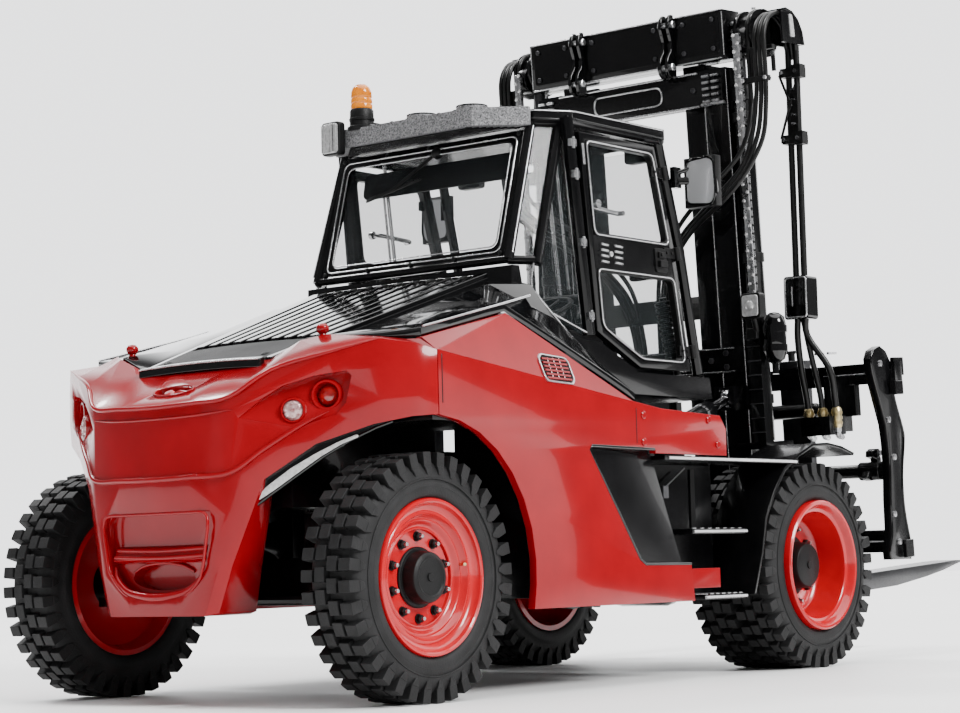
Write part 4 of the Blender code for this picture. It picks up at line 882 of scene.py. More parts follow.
make("hood_ribs", ribs, "hood_lid", "gloss_black", bevel=0.42)
make("hood_rib_stops", stops, "hood_lid", "black_plastic", bevel=0.2, segments=1)
# A silver line along the hood's front lip is a painted highlight.
line = Shape()
front = []
for k in range(-8, 9):
    share = 0.955 * k / 8.0
    front.append((share * hood_half(-24.6), -24.7, hood_top(share, -24.6) + 0.75))
line.tube(front, 0.34, 8)
make("hood_front_painted_highlight", line, "hood_lid", "silver_trim_and_painted_highlight", angle=60.0)
for word, side in SIDES:
    # A silver line along the deck's lower edge is a painted highlight.
    shoulder_highlight = Shape(flip(side))
    shoulder_highlight.tube(smooth_path([(80.3, 2.0, 125.2), (80.2, 10.0, 127.1), (79.9, 28.0, 131.5),
                                (79.7, 47.0, 136.1), (81.0, 60.0, 139.6)], 4), 0.4, 8)
    make("shoulder_painted_highlight_" + word, shoulder_highlight, "truck_body", "silver_trim_and_painted_highlight", angle=60.0)
latch = Shape()
for sign in (1.0, -1.0):
    x = sign * 24.0
    latch.lathe([(115.0, 0.0), (115.0, 2.0), (119.1, 2.0), (119.6, 1.5), (119.6, 0.0)],
                (x, -15.0), "z", 20)
make("hood_latches", latch, "hood_lid", "black_plastic", angle=35.0)


# ------------------------------------------------------------ side panels

for word, side in SIDES:
    def skin(y, z, out=0.0):
        return (side * (side_x(word, y, z) + out), y, z)

    notch = Shape(flip(side))
    notch.prism([(164.0, 108.0), (176.0, 108.0), (176.0, 94.4), (172.4, 94.4), (167.6, 100.6)],
                "x", 60.0, 100.0)
    carve(DONE["side_panel_" + word], notch)
    frame_shape = Shape()
    vent = rounded([(58.0, 108.6), (74.6, 108.0), (76.4, 109.6), (75.8, 118.0), (59.4, 118.8),
                    (57.4, 117.0)], 2.6, 4)
    shrink = scaled(vent, 0.93, 0.89)
    n = len(vent)
    verts = [skin(y, z, -0.4) for y, z in vent] + [skin(y, z, 0.75) for y, z in vent]
    verts += [skin(y, z, 0.75) for y, z in shrink] + [skin(y, z, -0.4) for y, z in shrink]
    faces = []
    for r in range(4):
        for i in range(n):
            j = (i + 1) % n
            a, b = r * n, ((r + 1) % 4) * n
            faces.append((a + i, a + j, b + j, b + i))
    frame_shape.add(verts, faces)
    make("vent_frame_" + word, frame_shape, "truck_body", "silver_trim_and_painted_highlight", bevel=0.2, segments=1)
    back = Shape()
    verts = [skin(y, z, 0.12) for y, z in shrink] + [skin(y, z, -0.6) for y, z in shrink]
    back.add(verts, slab_faces(n))
    make("vent_back_" + word, back, "truck_body", "black_plastic", angle=30.0)
    slats = Shape()
    for k in range(6):
        z = 110.0 + 1.38 * k
        a = skin(59.6, z, 0.35)
        b = skin(74.4, z - 0.25, 0.35)
        slats.rod(a, b, 0.42, 8)
    for y in (63.4, 67.0, 70.6):
        slats.rod(skin(y, 109.6, 0.2), skin(y, 117.4, 0.2), 0.3, 6)
    make("vent_slats_" + word, slats, "truck_body", "red_paint", angle=40.0)

    trim = Shape()
    for y, z in ((117.0, 98.6), (160.0, 98.2), (117.0, 88.6), (166.0, 88.8)):
        x = side_x(word, y, z)
        trim.lathe([(x - 0.6, 0.0), (x - 0.6, 1.5), (x + 0.35, 1.5), (x + 0.6, 1.1),
                    (x + 0.6, 0.0)], (y, z), "x", 16, flip(side))
    make("panel_bolts_" + word, trim, "truck_body", "red_paint", angle=32.0)
    joint = Shape()
    for y, z0, z1 in ((2.3, 99.0, 117.4), (112.6, 88.0, 101.0)):
        steps = [z0 + (z1 - z0) * k / 8.0 for k in range(9)]
        joint.tube([skin(y, z, -0.12) for z in steps], 0.3, 6)
    make("panel_seams_" + word, joint, "truck_body", "black_plastic", angle=40.0)
    # Step bars and treads are parts; the line along the fender's top edge is a painted highlight.
    step_and_highlight_lines = Shape()
    for y0, y1, z in ((149.2, 185.8, 55.6), (156.2, 184.4, 30.6)):
        step_and_highlight_lines.tube([(86.9, y0, z), (86.9, y1, z)], 0.62, 8)
        for k in range(7):
            y = y0 + (y1 - y0) * (k + 0.5) / 7.0
            step_and_highlight_lines.box((71.0, y - 1.2, z + 0.9), (85.6, y + 1.2, z + 1.35))
    # Painted highlight along the fender's top edge.
    step_and_highlight_lines.tube([(88.4, 132.0, 83.1), (88.4, 222.0, 83.1)], 0.62, 8)
    step_and_highlight_lines.verts = [(side * x, y, z) for x, y, z in step_and_highlight_lines.verts]
    recess = [(145.2, 43.5), (116.0, 43.8), (112.6, 45.7), (83.7, 85.1), (84.8, 86.6),
              (123.6, 86.1)]
    rim_bead = Shape(flip(side))
    rim_bead.tube([(PANEL_FACE, y, z) for y, z in recess], 0.6, 8)
    make("recess_bead_" + word, rim_bead, "truck_body", "gloss_black", angle=50.0)
    make("step_edges_and_painted_highlight_" + word, step_and_highlight_lines, "truck_body", "silver_trim_and_painted_highlight", angle=40.0)


# ------------------------------------------------------------ cab

WINDOW_FOOT = Vector((0.0, 91.2, 159.6))
WINDOW_UP = Vector((0.0, 14.0, 48.9)).normalized()
WINDOW_OUT = Vector((0.0, -48.9, 14.0)).normalized()


def on_rear(p):
    """(across, up the rear window, out of it)."""
    x, up, out = p
    q = WINDOW_FOOT + WINDOW_UP * up + WINDOW_OUT * out
    return (x, q.y, q.z)


def rectangle(x0, z0, x1, z1, radius):
    return rounded([(x0, z0), (x1, z0), (x1, z1), (x0, z1)], radius, 5)


gasket = Shape()
frame_strip(gasket, rectangle(-46.6, -0.8, 46.6, 51.0, 1.0), rectangle(-42.2, 3.2, 42.2, 46.8, 4.0),
            "z", 0.75, 1.9, on_rear)
make("rear_window_frame", gasket, "truck_body", "black_paint", bevel=0.25)
# Silver lines round the rear window are painted highlights along its edges.
highlight_line = Shape()
for inset, r in ((0.0, 0.34), (2.4, 0.26)):
    loop = rectangle(-44.2 + inset, 1.4 + inset, 44.2 - inset, 48.6 - inset, 3.4)
    highlight_line.tube([on_rear((x, z, 2.0)) for x, z in loop], r, 8, closed=True)
make("rear_window_painted_highlight", highlight_line, "truck_body", "silver_trim_and_painted_highlight", angle=60.0)
screws = Shape()
for x in (-44.6, -22.0, 0.0, 22.0, 44.6):
    for z in (0.8, 49.4):
        base = on_rear((x, z, 1.6))
        screws.tube([base, on_rear((x, z, 2.5)), on_rear((x, z, 2.75))],
                    lambda t: 0.85 if t < 0.9 else 0.5, 10)
make("rear_window_screws", screws, "truck_body", "black_plastic", angle=35.0)
inner_blind = Shape()
inner_blind.prism(rounded([(-40, 36), (40, 36), (41, 47), (-41, 47)], 3.0), "z", -7.5, -6.7,
                  on_rear)
make("roof_lining_flap", inner_blind, "truck_body", "black_plastic", bevel=0.2)


DOOR_UPPER = [(123.4, 205.4), (167.0, 205.4), (176.9, 169.8), (127.3, 169.8)]
DOOR_LOWER = [(128.8, 156.6), (179.6, 156.6), (185.8, 123.3), (156.4, 123.3), (131.2, 134.4)]

MIRROR_MIDDLE = (69.6, 195.6)


def taper_x(y):
    """Half width of the cab's lower rear corner."""
    return 58.6 - 0.235 * max(0.0, 122.0 - y)


for word, side in SIDES:
    mirror = flip(side)
    pane = Shape(mirror)
    rear_strip = [(49.6, 91.8, 160.4), (54.2, 97.4, 159.4), (52.2, 115.2, 211.0),
                  (48.2, 107.8, 211.0)]
    quarter = [(taper_x(99.4), 99.4, 158.6), (taper_x(94.6), 94.6, 147.6),
               (taper_x(101.0), 101.0, 139.6), (taper_x(121.0), 121.0, 130.8),
               (58.4, 122.4, 134.0), (55.6, 117.4, 209.6), (53.4, 116.6, 209.6)]
    for points in (rear_strip, quarter):
        pane.add(points + [(x - 0.7, y, z) for x, y, z in points], slab_faces(len(points)))
    make("corner_glass_" + word, pane, "truck_body", "clear_glass", angle=30.0)
    # Silver lines along the quarter window edges are painted highlights.
    lines = Shape(mirror)
    path = [(taper_x(96.4) + 2.4, 96.2, 156.6), (taper_x(95.0) + 2.3, 95.0, 149.8),
            (taper_x(96.2) + 2.3, 96.4, 144.6), (taper_x(101.0) + 2.3, 101.6, 139.8),
            (taper_x(111) + 2.3, 111.4, 135.4), (taper_x(121) + 2.2, 120.6, 131.6)]
    lines.tube(smooth_path(path, 5), 0.42, 8)
    lines.tube([(56.6, 99.2, 160.0), (55.0, 112.4, 199.0), (54.6, 116.0, 210.0)], 0.36, 8)
    lines.tube([(50.6, 89.2, 160.6), (49.2, 105.8, 210.6)], 0.34, 8)
    make("quarter_painted_highlight_" + word, lines, "truck_body", "silver_trim_and_painted_highlight", angle=60.0)

    body = "cab_door_" + word
    rim = Shape(mirror)
    for outline, inner in ((DOOR_UPPER, 0.955), (DOOR_LOWER, 0.95)):
        line = rounded(outline, 3.0, 4)
        frame_strip(rim, scaled(line, 1.02, 1.02), scaled(line, inner, inner), "x", 58.0, 60.9)
    make("door_gasket_" + word, rim, body, "hose_rubber", bevel=0.25)
    # Silver lines round the door windows are painted highlights along their edges.
    highlight_line = Shape(mirror)
    for outline in (DOOR_UPPER, DOOR_LOWER):
        highlight_line.tube([(60.95, y, z) for y, z in rounded(outline, 3.0, 4)], 0.33, 8, closed=True)
    make("door_painted_highlight_" + word, highlight_line, body, "silver_trim_and_painted_highlight", angle=60.0)
    slots = Shape(mirror)
    for y0, y1 in ((131.6, 135.8), (140.4, 145.0)):
        for k in range(4):
            z = 159.8 + 2.2 * k
            slots.tube([(60.3, y0 + 0.4, z), (60.75, y0, z), (60.75, y1, z - 0.2),
                        (60.3, y1 + 0.4, z - 0.2)], 0.5, 8)
    slots.lathe([(60.2, 0.0), (60.2, 1.1), (60.9, 1.0), (61.1, 0.6), (61.1, 0.0)],
                (138.0, 163.0), "x", 14)
    make("door_louvres_" + word, slots, body, "silver_trim_and_painted_highlight", angle=50.0)
    handle = Shape(mirror)
    handle.prism(rounded([(167.6, 158.4), (175.6, 158.4), (174.2, 168.0), (166.8, 168.0)], 1.4),
                 "x", 60.2, 61.1)
    handle.box((61.0, 168.6, 160.4), (62.6, 173.6, 163.0))
    handle.box((61.0, 168.6, 164.0), (62.0, 172.8, 166.4))
    handle.lathe([(61.0, 0.0), (61.0, 0.9), (62.6, 0.8), (62.6, 0.0)], (170.2, 165.4), "x", 12)
    make("door_handle_" + word, handle, body, "black_plastic", bevel=0.25)
    grab = Shape(mirror)
    grab.tube(smooth_path([(58.8, 133.2, 182.4), (54.6, 133.6, 182.0), (53.6, 136.0, 181.8),
                           (53.6, 150.0, 181.0), (54.6, 152.4, 180.8), (56.6, 152.6, 180.8)], 4),
              0.95, 10)
    grab.lathe([(57.2, 0.0), (57.2, 1.7), (58.8, 1.7), (58.8, 0.0)], (133.2, 182.4), "x", 14)
    make("door_grab_" + word, grab, body, "silver_trim_and_painted_highlight", angle=50.0)
    hinge = Shape(mirror)
    low_end = Vector((61.2, 192.6, 120.0))
    high_end = Vector((61.2, 172.8, 208.0))
    for t0, t1 in ((0.06, 0.12), (0.50, 0.56), (0.86, 0.92)):
        a = low_end.lerp(high_end, t0)
        b = low_end.lerp(high_end, t1)
        hinge.rod(a, b, 1.35, 14)
        mid = a.lerp(b, 0.5)
        hinge.box((59.4, mid.y - 8.6, mid.z - 2.0), (60.9, mid.y - 0.6, mid.z + 2.0))
        for dy in (-6.8, -3.4):
            hinge.lathe([(60.6, 0.0), (60.6, 0.8), (61.5, 0.7), (61.5, 0.0)],
                        (mid.y + dy, mid.z), "x", 8)
    make("door_hinges_" + word, hinge, body, "black_plastic", bevel=0.2, segments=1)

    strikers = Shape(mirror)
    for z in (138.0, 166.0, 192.0, 204.0):
        y = 124.4 - (z - 132.2) * 8.4 / 80.4
        x = 58.6 - (z - 132.2) * 1.4 / 80.4
        strikers.box((x + 1.2, y - 2.2, z - 1.4), (x + 2.9, y + 1.4, z + 1.4))
        strikers.rod((x + 2.6, y - 0.4, z - 2.2), (x + 2.6, y - 0.4, z + 2.2), 0.7, 8)
    strikers.rod((61.2, 121.4, 196.0), (61.2, 120.5, 204.0), 0.6, 8)
    make("pillar_strikers_" + word, strikers, "truck_body", "chain_steel", bevel=0.15,
         segments=1)
    coil = Shape(mirror)
    path = []
    turns = 11
    for k in range(turns * 12 + 1):
        t = k / (turns * 12.0)
        a = 2.0 * math.pi * turns * t
        path.append((52.4 + 3.1 * math.cos(a), 191.6 - 7.4 * t + 2.9 * math.sin(a),
                     123.0 + 25.0 * t))
    coil.tube(path, 0.85, 8)
    coil.rod((52.4, 192.4, 119.4), (52.4, 183.6, 150.0), 1.5, 12)
    make("pillar_coil_" + word, coil, "truck_body", "black_plastic", angle=50.0)
    pole = Shape(mirror)
    pole.rod((41.0, 130.4, 148.0), (41.0, 122.4, 209.0), 0.75, 10)
    pole.rod((44.6, 131.4, 150.0), (44.6, 124.6, 206.0), 0.5, 8)
    make("cab_pole_" + word, pole, "truck_body", "silver_trim_and_painted_highlight", angle=50.0)

    shell = Shape(mirror)
    outline = rounded([(62.4, 186.4), (75.8, 185.0), (77.4, 190.0), (76.6, 204.4), (73.8, 206.0),
                       (63.4, 205.2), (62.0, 202.0)], 2.6, 4)
    small = scaled(outline, 0.72, 0.78, MIRROR_MIDDLE)
    wide = scaled(outline, 0.97, 0.97, MIRROR_MIDDLE)
    inset = scaled(outline, 0.88, 0.9, MIRROR_MIDDLE)
    n = len(outline)
    rings = [[(x, 188.3, z) for x, z in inset], [(x, 187.2, z) for x, z in inset],
             [(x, 187.0, z) for x, z in wide], [(x, 188.0, z) for x, z in outline],
             [(x, 189.6, z) for x, z in wide], [(x, 191.6, z) for x, z in small]]
    verts = [p for ring in rings for p in ring]
    faces = [tuple(range(n - 1, -1, -1)), tuple(range(5 * n, 6 * n))]
    for r in range(5):
        faces += [(r * n + i, r * n + (i + 1) % n, (r + 1) * n + (i + 1) % n, (r + 1) * n + i)
                  for i in range(n)]
    shell.add(verts, faces)
    shell.tube(smooth_path([(60.2, 184.4, 199.6), (63.0, 187.6, 201.0), (68.0, 190.6, 203.0),
                            (70.0, 190.4, 200.0)], 4), 1.0, 10)
    shell.rod((59.8, 184.8, 196.0), (66.0, 190.4, 196.0), 1.1, 10)
    shell.box((59.0, 181.8, 193.6), (61.4, 186.4, 202.0))
    make("mirror_shell_" + word, shell, "truck_body", "gloss_black", bevel=0.2, angle=35.0,
         replaces=("mirror_" + word,))
    face = Shape(mirror)
    face.prism(scaled(outline, 0.86, 0.88, MIRROR_MIDDLE), "y", 187.5, 188.1)
    make("mirror_face_" + word, face, "truck_body", "mirror", angle=30.0)

seat = Shape()
for sx in (-1.0, 1.0):
    seat.tube(smooth_path([(sx * 15.0, 134.6, 136.0), (sx * 15.6, 131.6, 147.0),
                           (sx * 14.0, 129.4, 156.0), (sx * 9.0, 128.6, 158.8)], 5),
              lambda t: 2.5 - 0.9 * t, 14)
    seat.tube(smooth_path([(sx * 15.2, 138.0, 134.6), (sx * 15.6, 149.0, 135.4),
                           (sx * 14.4, 158.0, 133.4)], 5), 2.2, 14)
for k in range(4):
    z = 138.6 + 4.4 * k
    y = 136.4 - 4.4 * k * 0.27
    seat.tube([(-11.6, y, z), (0.0, y + 0.2, z + 0.2), (11.6, y, z)], 0.8, 8)
for k in range(3):
    seat.tube([(-11.6, 141.6 + 5.0 * k, 135.0), (11.6, 141.6 + 5.0 * k, 135.0)], 0.7, 8)
seat.box((-9.0, 125.4, 158.4), (9.0, 129.4, 161.6))
make("seat_bolsters", seat, "truck_body", "vinyl", bevel=0.6, angle=50.0)
belt = Shape()
belt.tube([(16.6, 139.0, 128.0), (17.4, 137.0, 133.0), (16.4, 133.4, 139.0)], 0.9, 8)
belt.box((15.8, 136.4, 131.4), (18.4, 138.6, 135.6))
make("seat_belt_buckle", belt, "truck_body", "red_lens", bevel=0.3)
pod = Shape()
pod.prism(rounded([(186.2, 141.0), (190.6, 143.0), (188.6, 154.4), (185.0, 156.0),
                   (183.6, 153.0)], 1.2), "x", -15.0, 15.0)
pod.box((-3.0, 187.0, 112.4), (3.0, 191.6, 143.0))
make("instrument_pod", pod, "truck_body", "black_plastic", bevel=0.6)
gauges = Shape()
for x in (-8.6, 0.0, 8.6):
    centre = Vector((x, 184.6, 148.4))
    back = Vector((0.0, -0.98, 0.2))
    gauges.tube([centre - back * 0.6, centre + back * 0.6, centre + back * 0.9],
                lambda t: 3.1 if t < 0.9 else 2.5, 24)
make("instrument_bezels", gauges, "truck_body", "silver_trim_and_painted_highlight", angle=35.0)
knobs = Shape()
for x, y, z, r in ((30.0, 165.0, 149.0, 2.0), (27.0, 158.0, 146.0, 1.6), (33.0, 157.0, 143.0, 1.4)):
    knobs.lathe([(z - 4.0, 0.0), (z - 4.0, r * 0.6), (z - 1.0, r * 0.8), (z, r), (z + r * 0.8,
                r * 0.8), (z + r * 1.2, 0.0)], (x, y), "z", 14)
knobs.rod((33.0, 157.0, 138.6), (33.0, 157.0, 141.0), 0.6, 8)
make("lever_knobs", knobs, "truck_body", "black_plastic", angle=50.0)
screen = Shape()
screen.prism(rectangle(36.0, 158.0, 48.0, 172.0, 1.6), "y", 183.6, 185.8)
screen.rod((46.0, 185.0, 165.0), (55.0, 188.0, 168.0), 0.9, 8)
make("cab_display", screen, "truck_body", "gloss_black", bevel=0.35)


# ------------------------------------------------------------ roof

gutter = Shape()
ring = [(-58.6, 119.0), (-49.8, 105.4), (49.8, 105.4), (58.6, 119.0), (58.6, 179.8),
        (-58.6, 179.8)]
gutter.tube([(x, y, 213.2) for x, y in rounded(ring, 2.4, 3)], 0.55, 8, closed=True)
make("roof_gutter", gutter, "truck_body", "black_paint", angle=60.0)
# A silver line round the roof edge is a painted highlight.
roof_highlight = Shape()
roof_highlight.tube([(x * 1.004, y, 216.4) for x, y in rounded(ring, 2.4, 3)], 0.28, 8, closed=True)
make("roof_painted_highlight", roof_highlight, "truck_body", "silver_trim_and_painted_highlight", angle=60.0)
ridges = Shape()
for k in range(7):
    x = -42.0 + 14.0 * k
    ridges.prism(rounded([(x - 3.2, 126.0), (x + 3.2, 126.0), (x + 3.2, 172.0),
                          (x - 3.2, 172.0)], 2.4, 3), "z", 216.6, 217.5)
make("roof_ribs", ridges, "truck_body", "black_paint", bevel=0.3)

fans = Shape()
grille = Shape()
for x in (-27.0, 2.0, 27.0):
    for r in (5.9, 4.4, 2.9, 1.5):
        grille.tube([(a, b, 219.7) for a, b in oval(x, 96.4, r, r, 24)], 0.26, 6, closed=True)
    for k in range(4):
        a = math.pi * k / 4.0
        grille.rod((x - 6.0 * math.cos(a), 96.4 - 6.0 * math.sin(a), 219.6),
                   (x + 6.0 * math.cos(a), 96.4 + 6.0 * math.sin(a), 219.6), 0.28, 6)
spots = [(-32.0 + 8.0 * k, 89.9) for k in range(9)]
spots += [(sx * (36.0 + 5.0 * k), 92.6 + 4.2 * k) for sx in (-1.0, 1.0) for k in range(3)]
for spot in spots:
    fans.lathe([(217.2, 0.0), (217.2, 0.9), (217.9, 0.8), (218.2, 0.0)], spot, "z", 8)
make("roof_unit_screws", fans, "truck_body", "black_plastic", angle=40.0)
make("fan_grilles", grille, "truck_body", "black_plastic", angle=60.0)
under = Shape()
for k in range(7):
    y = 90.6 + 1.9 * k
    half = 31.0 + 2.4 * k * 0.8
    under.box((-half, y, 209.9), (half, y + 0.9, 210.7))
for x in (-30.0, 28.6):
    under.box((x, 90.0, 210.0), (x + 1.4, 103.4, 210.8))
make("roof_unit_slats", under, "truck_body", "black_paint", bevel=0.15, segments=1)
base = Shape()
base.lathe([(216.9, 0.0), (216.9, 5.8), (218.6, 5.8), (219.1, 4.9), (221.0, 4.8), (221.2, 5.1),
            (222.0, 5.1), (222.2, 4.8), (225.2, 4.7), (225.8, 4.3), (225.8, 3.9), (219.9, 3.9),
            (219.9, 0.0)], (-27.0, 93.6), "z", 32)
make("beacon_base", base, "truck_body", "black_plastic", angle=32.0)
dome = Shape()
dome.lathe([(220.4, 0.0), (220.4, 3.6), (225.4, 3.8), (226.2, 4.35), (227.6, 4.35), (228.0, 4.1),
            (228.4, 4.3), (229.8, 4.25), (230.2, 4.0), (230.6, 4.2), (232.6, 4.1), (234.2, 3.6),
            (235.3, 2.6), (235.9, 1.2), (236.0, 0.0)], (-27.0, 93.6), "z", 40)
make("beacon_dome", dome, "truck_body", "amber", angle=32.0, replaces=("beacon",))
lamp = Shape()
lamp.prism(rectangle(-41.0, 207.6, -31.4, 221.0, 1.8), "y", 84.9, 88.6)
lamp.rod((-36.2, 88.0, 212.0), (-34.0, 93.6, 214.0), 1.3, 10)
make("work_lamp_shell", lamp, "truck_body", "black_plastic", bevel=0.5)
lamp = Shape()
lamp.prism(rectangle(-40.2, 208.4, -32.2, 220.2, 1.3), "y", 84.2, 85.2)
for k in range(5):
    lamp.rod((-40.0 + 1.9 * k, 84.1, 208.9), (-40.0 + 1.9 * k, 84.1, 219.7), 0.32, 6)
make("work_lamp_lens", lamp, "truck_body", "pale_and_painted_highlight", bevel=0.2, segments=1)
for word, side in SIDES:
    lamp = Shape(flip(side))
    lamp.prism(rectangle(38.0, 205.4, 50.0, 212.4, 1.6), "y", 179.9, 184.2)
    lamp.box((43.0, 178.4, 211.6), (45.0, 182.0, 214.4))
    make("front_lamp_shell_" + word, lamp, "truck_body", "black_plastic", bevel=0.5)
    lamp = Shape(flip(side))
    lamp.prism(rectangle(39.0, 206.3, 49.0, 211.5, 1.0), "y", 184.0, 184.8)
    make("front_lamp_lens_" + word, lamp, "truck_body", "pale_and_painted_highlight", bevel=0.2, segments=1)
blade = Shape()
pivot = (4.0, 102.9, 205.2)


def on_wiper(x, up, out):
    q = Vector(pivot) + Vector((x, 0, 0)) + WINDOW_UP * up + WINDOW_OUT * out
    return tuple(q)


blade.tube([on_wiper(-33.6, -16.3, 0.25), on_wiper(-20.0, -13.1, 0.15),
            on_wiper(-6.4, -9.8, 0.25)], 0.42, 6)
for t in (0.15, 0.5, 0.85):
    x = -33.0 + 26.0 * t
    up = -16.0 + 6.0 * t
    blade.rod(on_wiper(x - 1.4, up - 0.3, 0.9), on_wiper(x + 1.4, up + 0.4, 0.9), 0.62, 6)
blade.lathe([(-0.4, 0.0), (-0.4, 2.3), (1.4, 2.2), (2.2, 1.5), (2.3, 0.0)], (0.0, 0.0), "z", 18,
            lambda p: on_wiper(*p))
make("wiper_blade", blade, "wiper_arm", "black_plastic", angle=50.0)


# ------------------------------------------------------------ mast head

def mast_side(side):
    return lambda p: flip(side)(on_mast(p))


def mast_box(shape, x0, x1, v0, v1, s0, s1):
    shape.box((x0, v0, s0), (x1, v1, s1))


RIB = [(-10.8, 239.4), (-12.6, 239.6), (-14.6, 238.0), (-15.6, 234.4), (-14.6, 231.0),
       (-13.4, 227.4), (-14.2, 223.6), (-17.0, 220.4), (-18.0, 216.6), (-17.0, 213.2),
       (-14.2, 211.4), (-10.8, 211.4)]
ribs = Shape(on_mast)
pins = Shape(on_mast)
for x in (-24.0, 24.0):
    for dx in (-2.7, 1.1):
        ribs.prism(RIB, "x", x + dx, x + dx + 1.6)
    for v, s, r in ((-13.0, 235.0, 1.3), (-15.2, 216.4, 1.5)):
        pins.lathe([(x - 3.6, 0.0), (x - 3.6, r), (x + 3.6, r), (x + 3.6, 0.0)], (v, s), "x", 14)
        pins.nut((x + 3.2, v, s), (1, 0, 0), 2.9, 1.0)
    ribs.rod((x, -12.2, 226.0), (x, -10.6, 226.0), 1.6, 12)
make("head_ribs", ribs, "inner_mast", "gloss_black", bevel=0.35)
make("head_pins", pins, "inner_mast", "chain_steel", angle=32.0)
plate = Shape(on_mast)
for x0, x1 in ((-49.4, -28.4), (-19.8, 19.8), (28.4, 49.4)):
    plate.prism(rounded([(x0, 219.4), (x1, 219.4), (x1, 236.4), (x0, 236.4)], 1.6), "y",
                -11.5, -10.6)
make("head_panels", plate, "inner_mast", "black_paint", bevel=0.3)
# Silver lines along the crosshead panel edges are painted highlights.
highlight_line = Shape(on_mast)
for s in (237.9, 217.4):
    for x0, x1 in ((-50.4, -27.6), (-20.4, 20.4), (27.6, 50.4)):
        highlight_line.tube([(x0, -11.2, s), (x1, -11.2, s)], 0.36, 8)
for x in (-51.2, 51.2):
    highlight_line.tube([(x, -10.8, 218.4), (x, -10.8, 237.0)], 0.36, 8)
make("head_painted_highlight", highlight_line, "inner_mast", "silver_trim_and_painted_highlight", angle=60.0)
bolts = Shape(on_mast)
for x in (-46.6, -31.6, -16.6, 16.6, 31.6, 46.6):
    for s in (221.8, 234.2):
        bolts.nut((x, -11.4, s), (0, -1, 0), 1.9, 1.0)
for x in (-40.0, -10.0, 10.0, 40.0):
    bolts.nut((x, -4.0, 237.8), (0, 0, 1), 2.4, 1.3)
make("head_bolts", bolts, "inner_mast", "dark_steel", angle=32.0)
# Silver lines along the crossmember edges and the plate outline are painted highlights.
lower = Shape(on_mast)
for s in (198.4, 212.6):
    lower.tube([(-37.0, -10.9, s), (37.0, -10.9, s)], 0.5, 8)
loop = [(x, -10.9, s) for x, s in rounded([(-18.0, 201.6), (18.0, 201.6), (18.0, 209.4),
                                           (-18.0, 209.4)], 3.6, 5)]
lower.tube(loop, 0.42, 8, closed=True)
for s in (84.6, 94.4, 15.6, 26.4):
    lower.tube([(-46.0, -10.8, s), (46.0, -10.8, s)], 0.3, 8)
make("crossmember_painted_highlights", lower, "outer_mast", "silver_trim_and_painted_highlight", angle=60.0)
gusset = Shape(on_mast)
for x in (-42.0, 42.0):
    for s in (200.4, 210.6, 86.6, 92.4):
        gusset.nut((x, -10.5, s), (0, -1, 0), 2.3, 1.2)
    for s in (205.5, 89.6):
        gusset.nut((x * 0.82, -10.5, s), (0, -1, 0), 2.3, 1.2)
make("crossmember_bolts", gusset, "outer_mast", "dark_steel", angle=32.0)

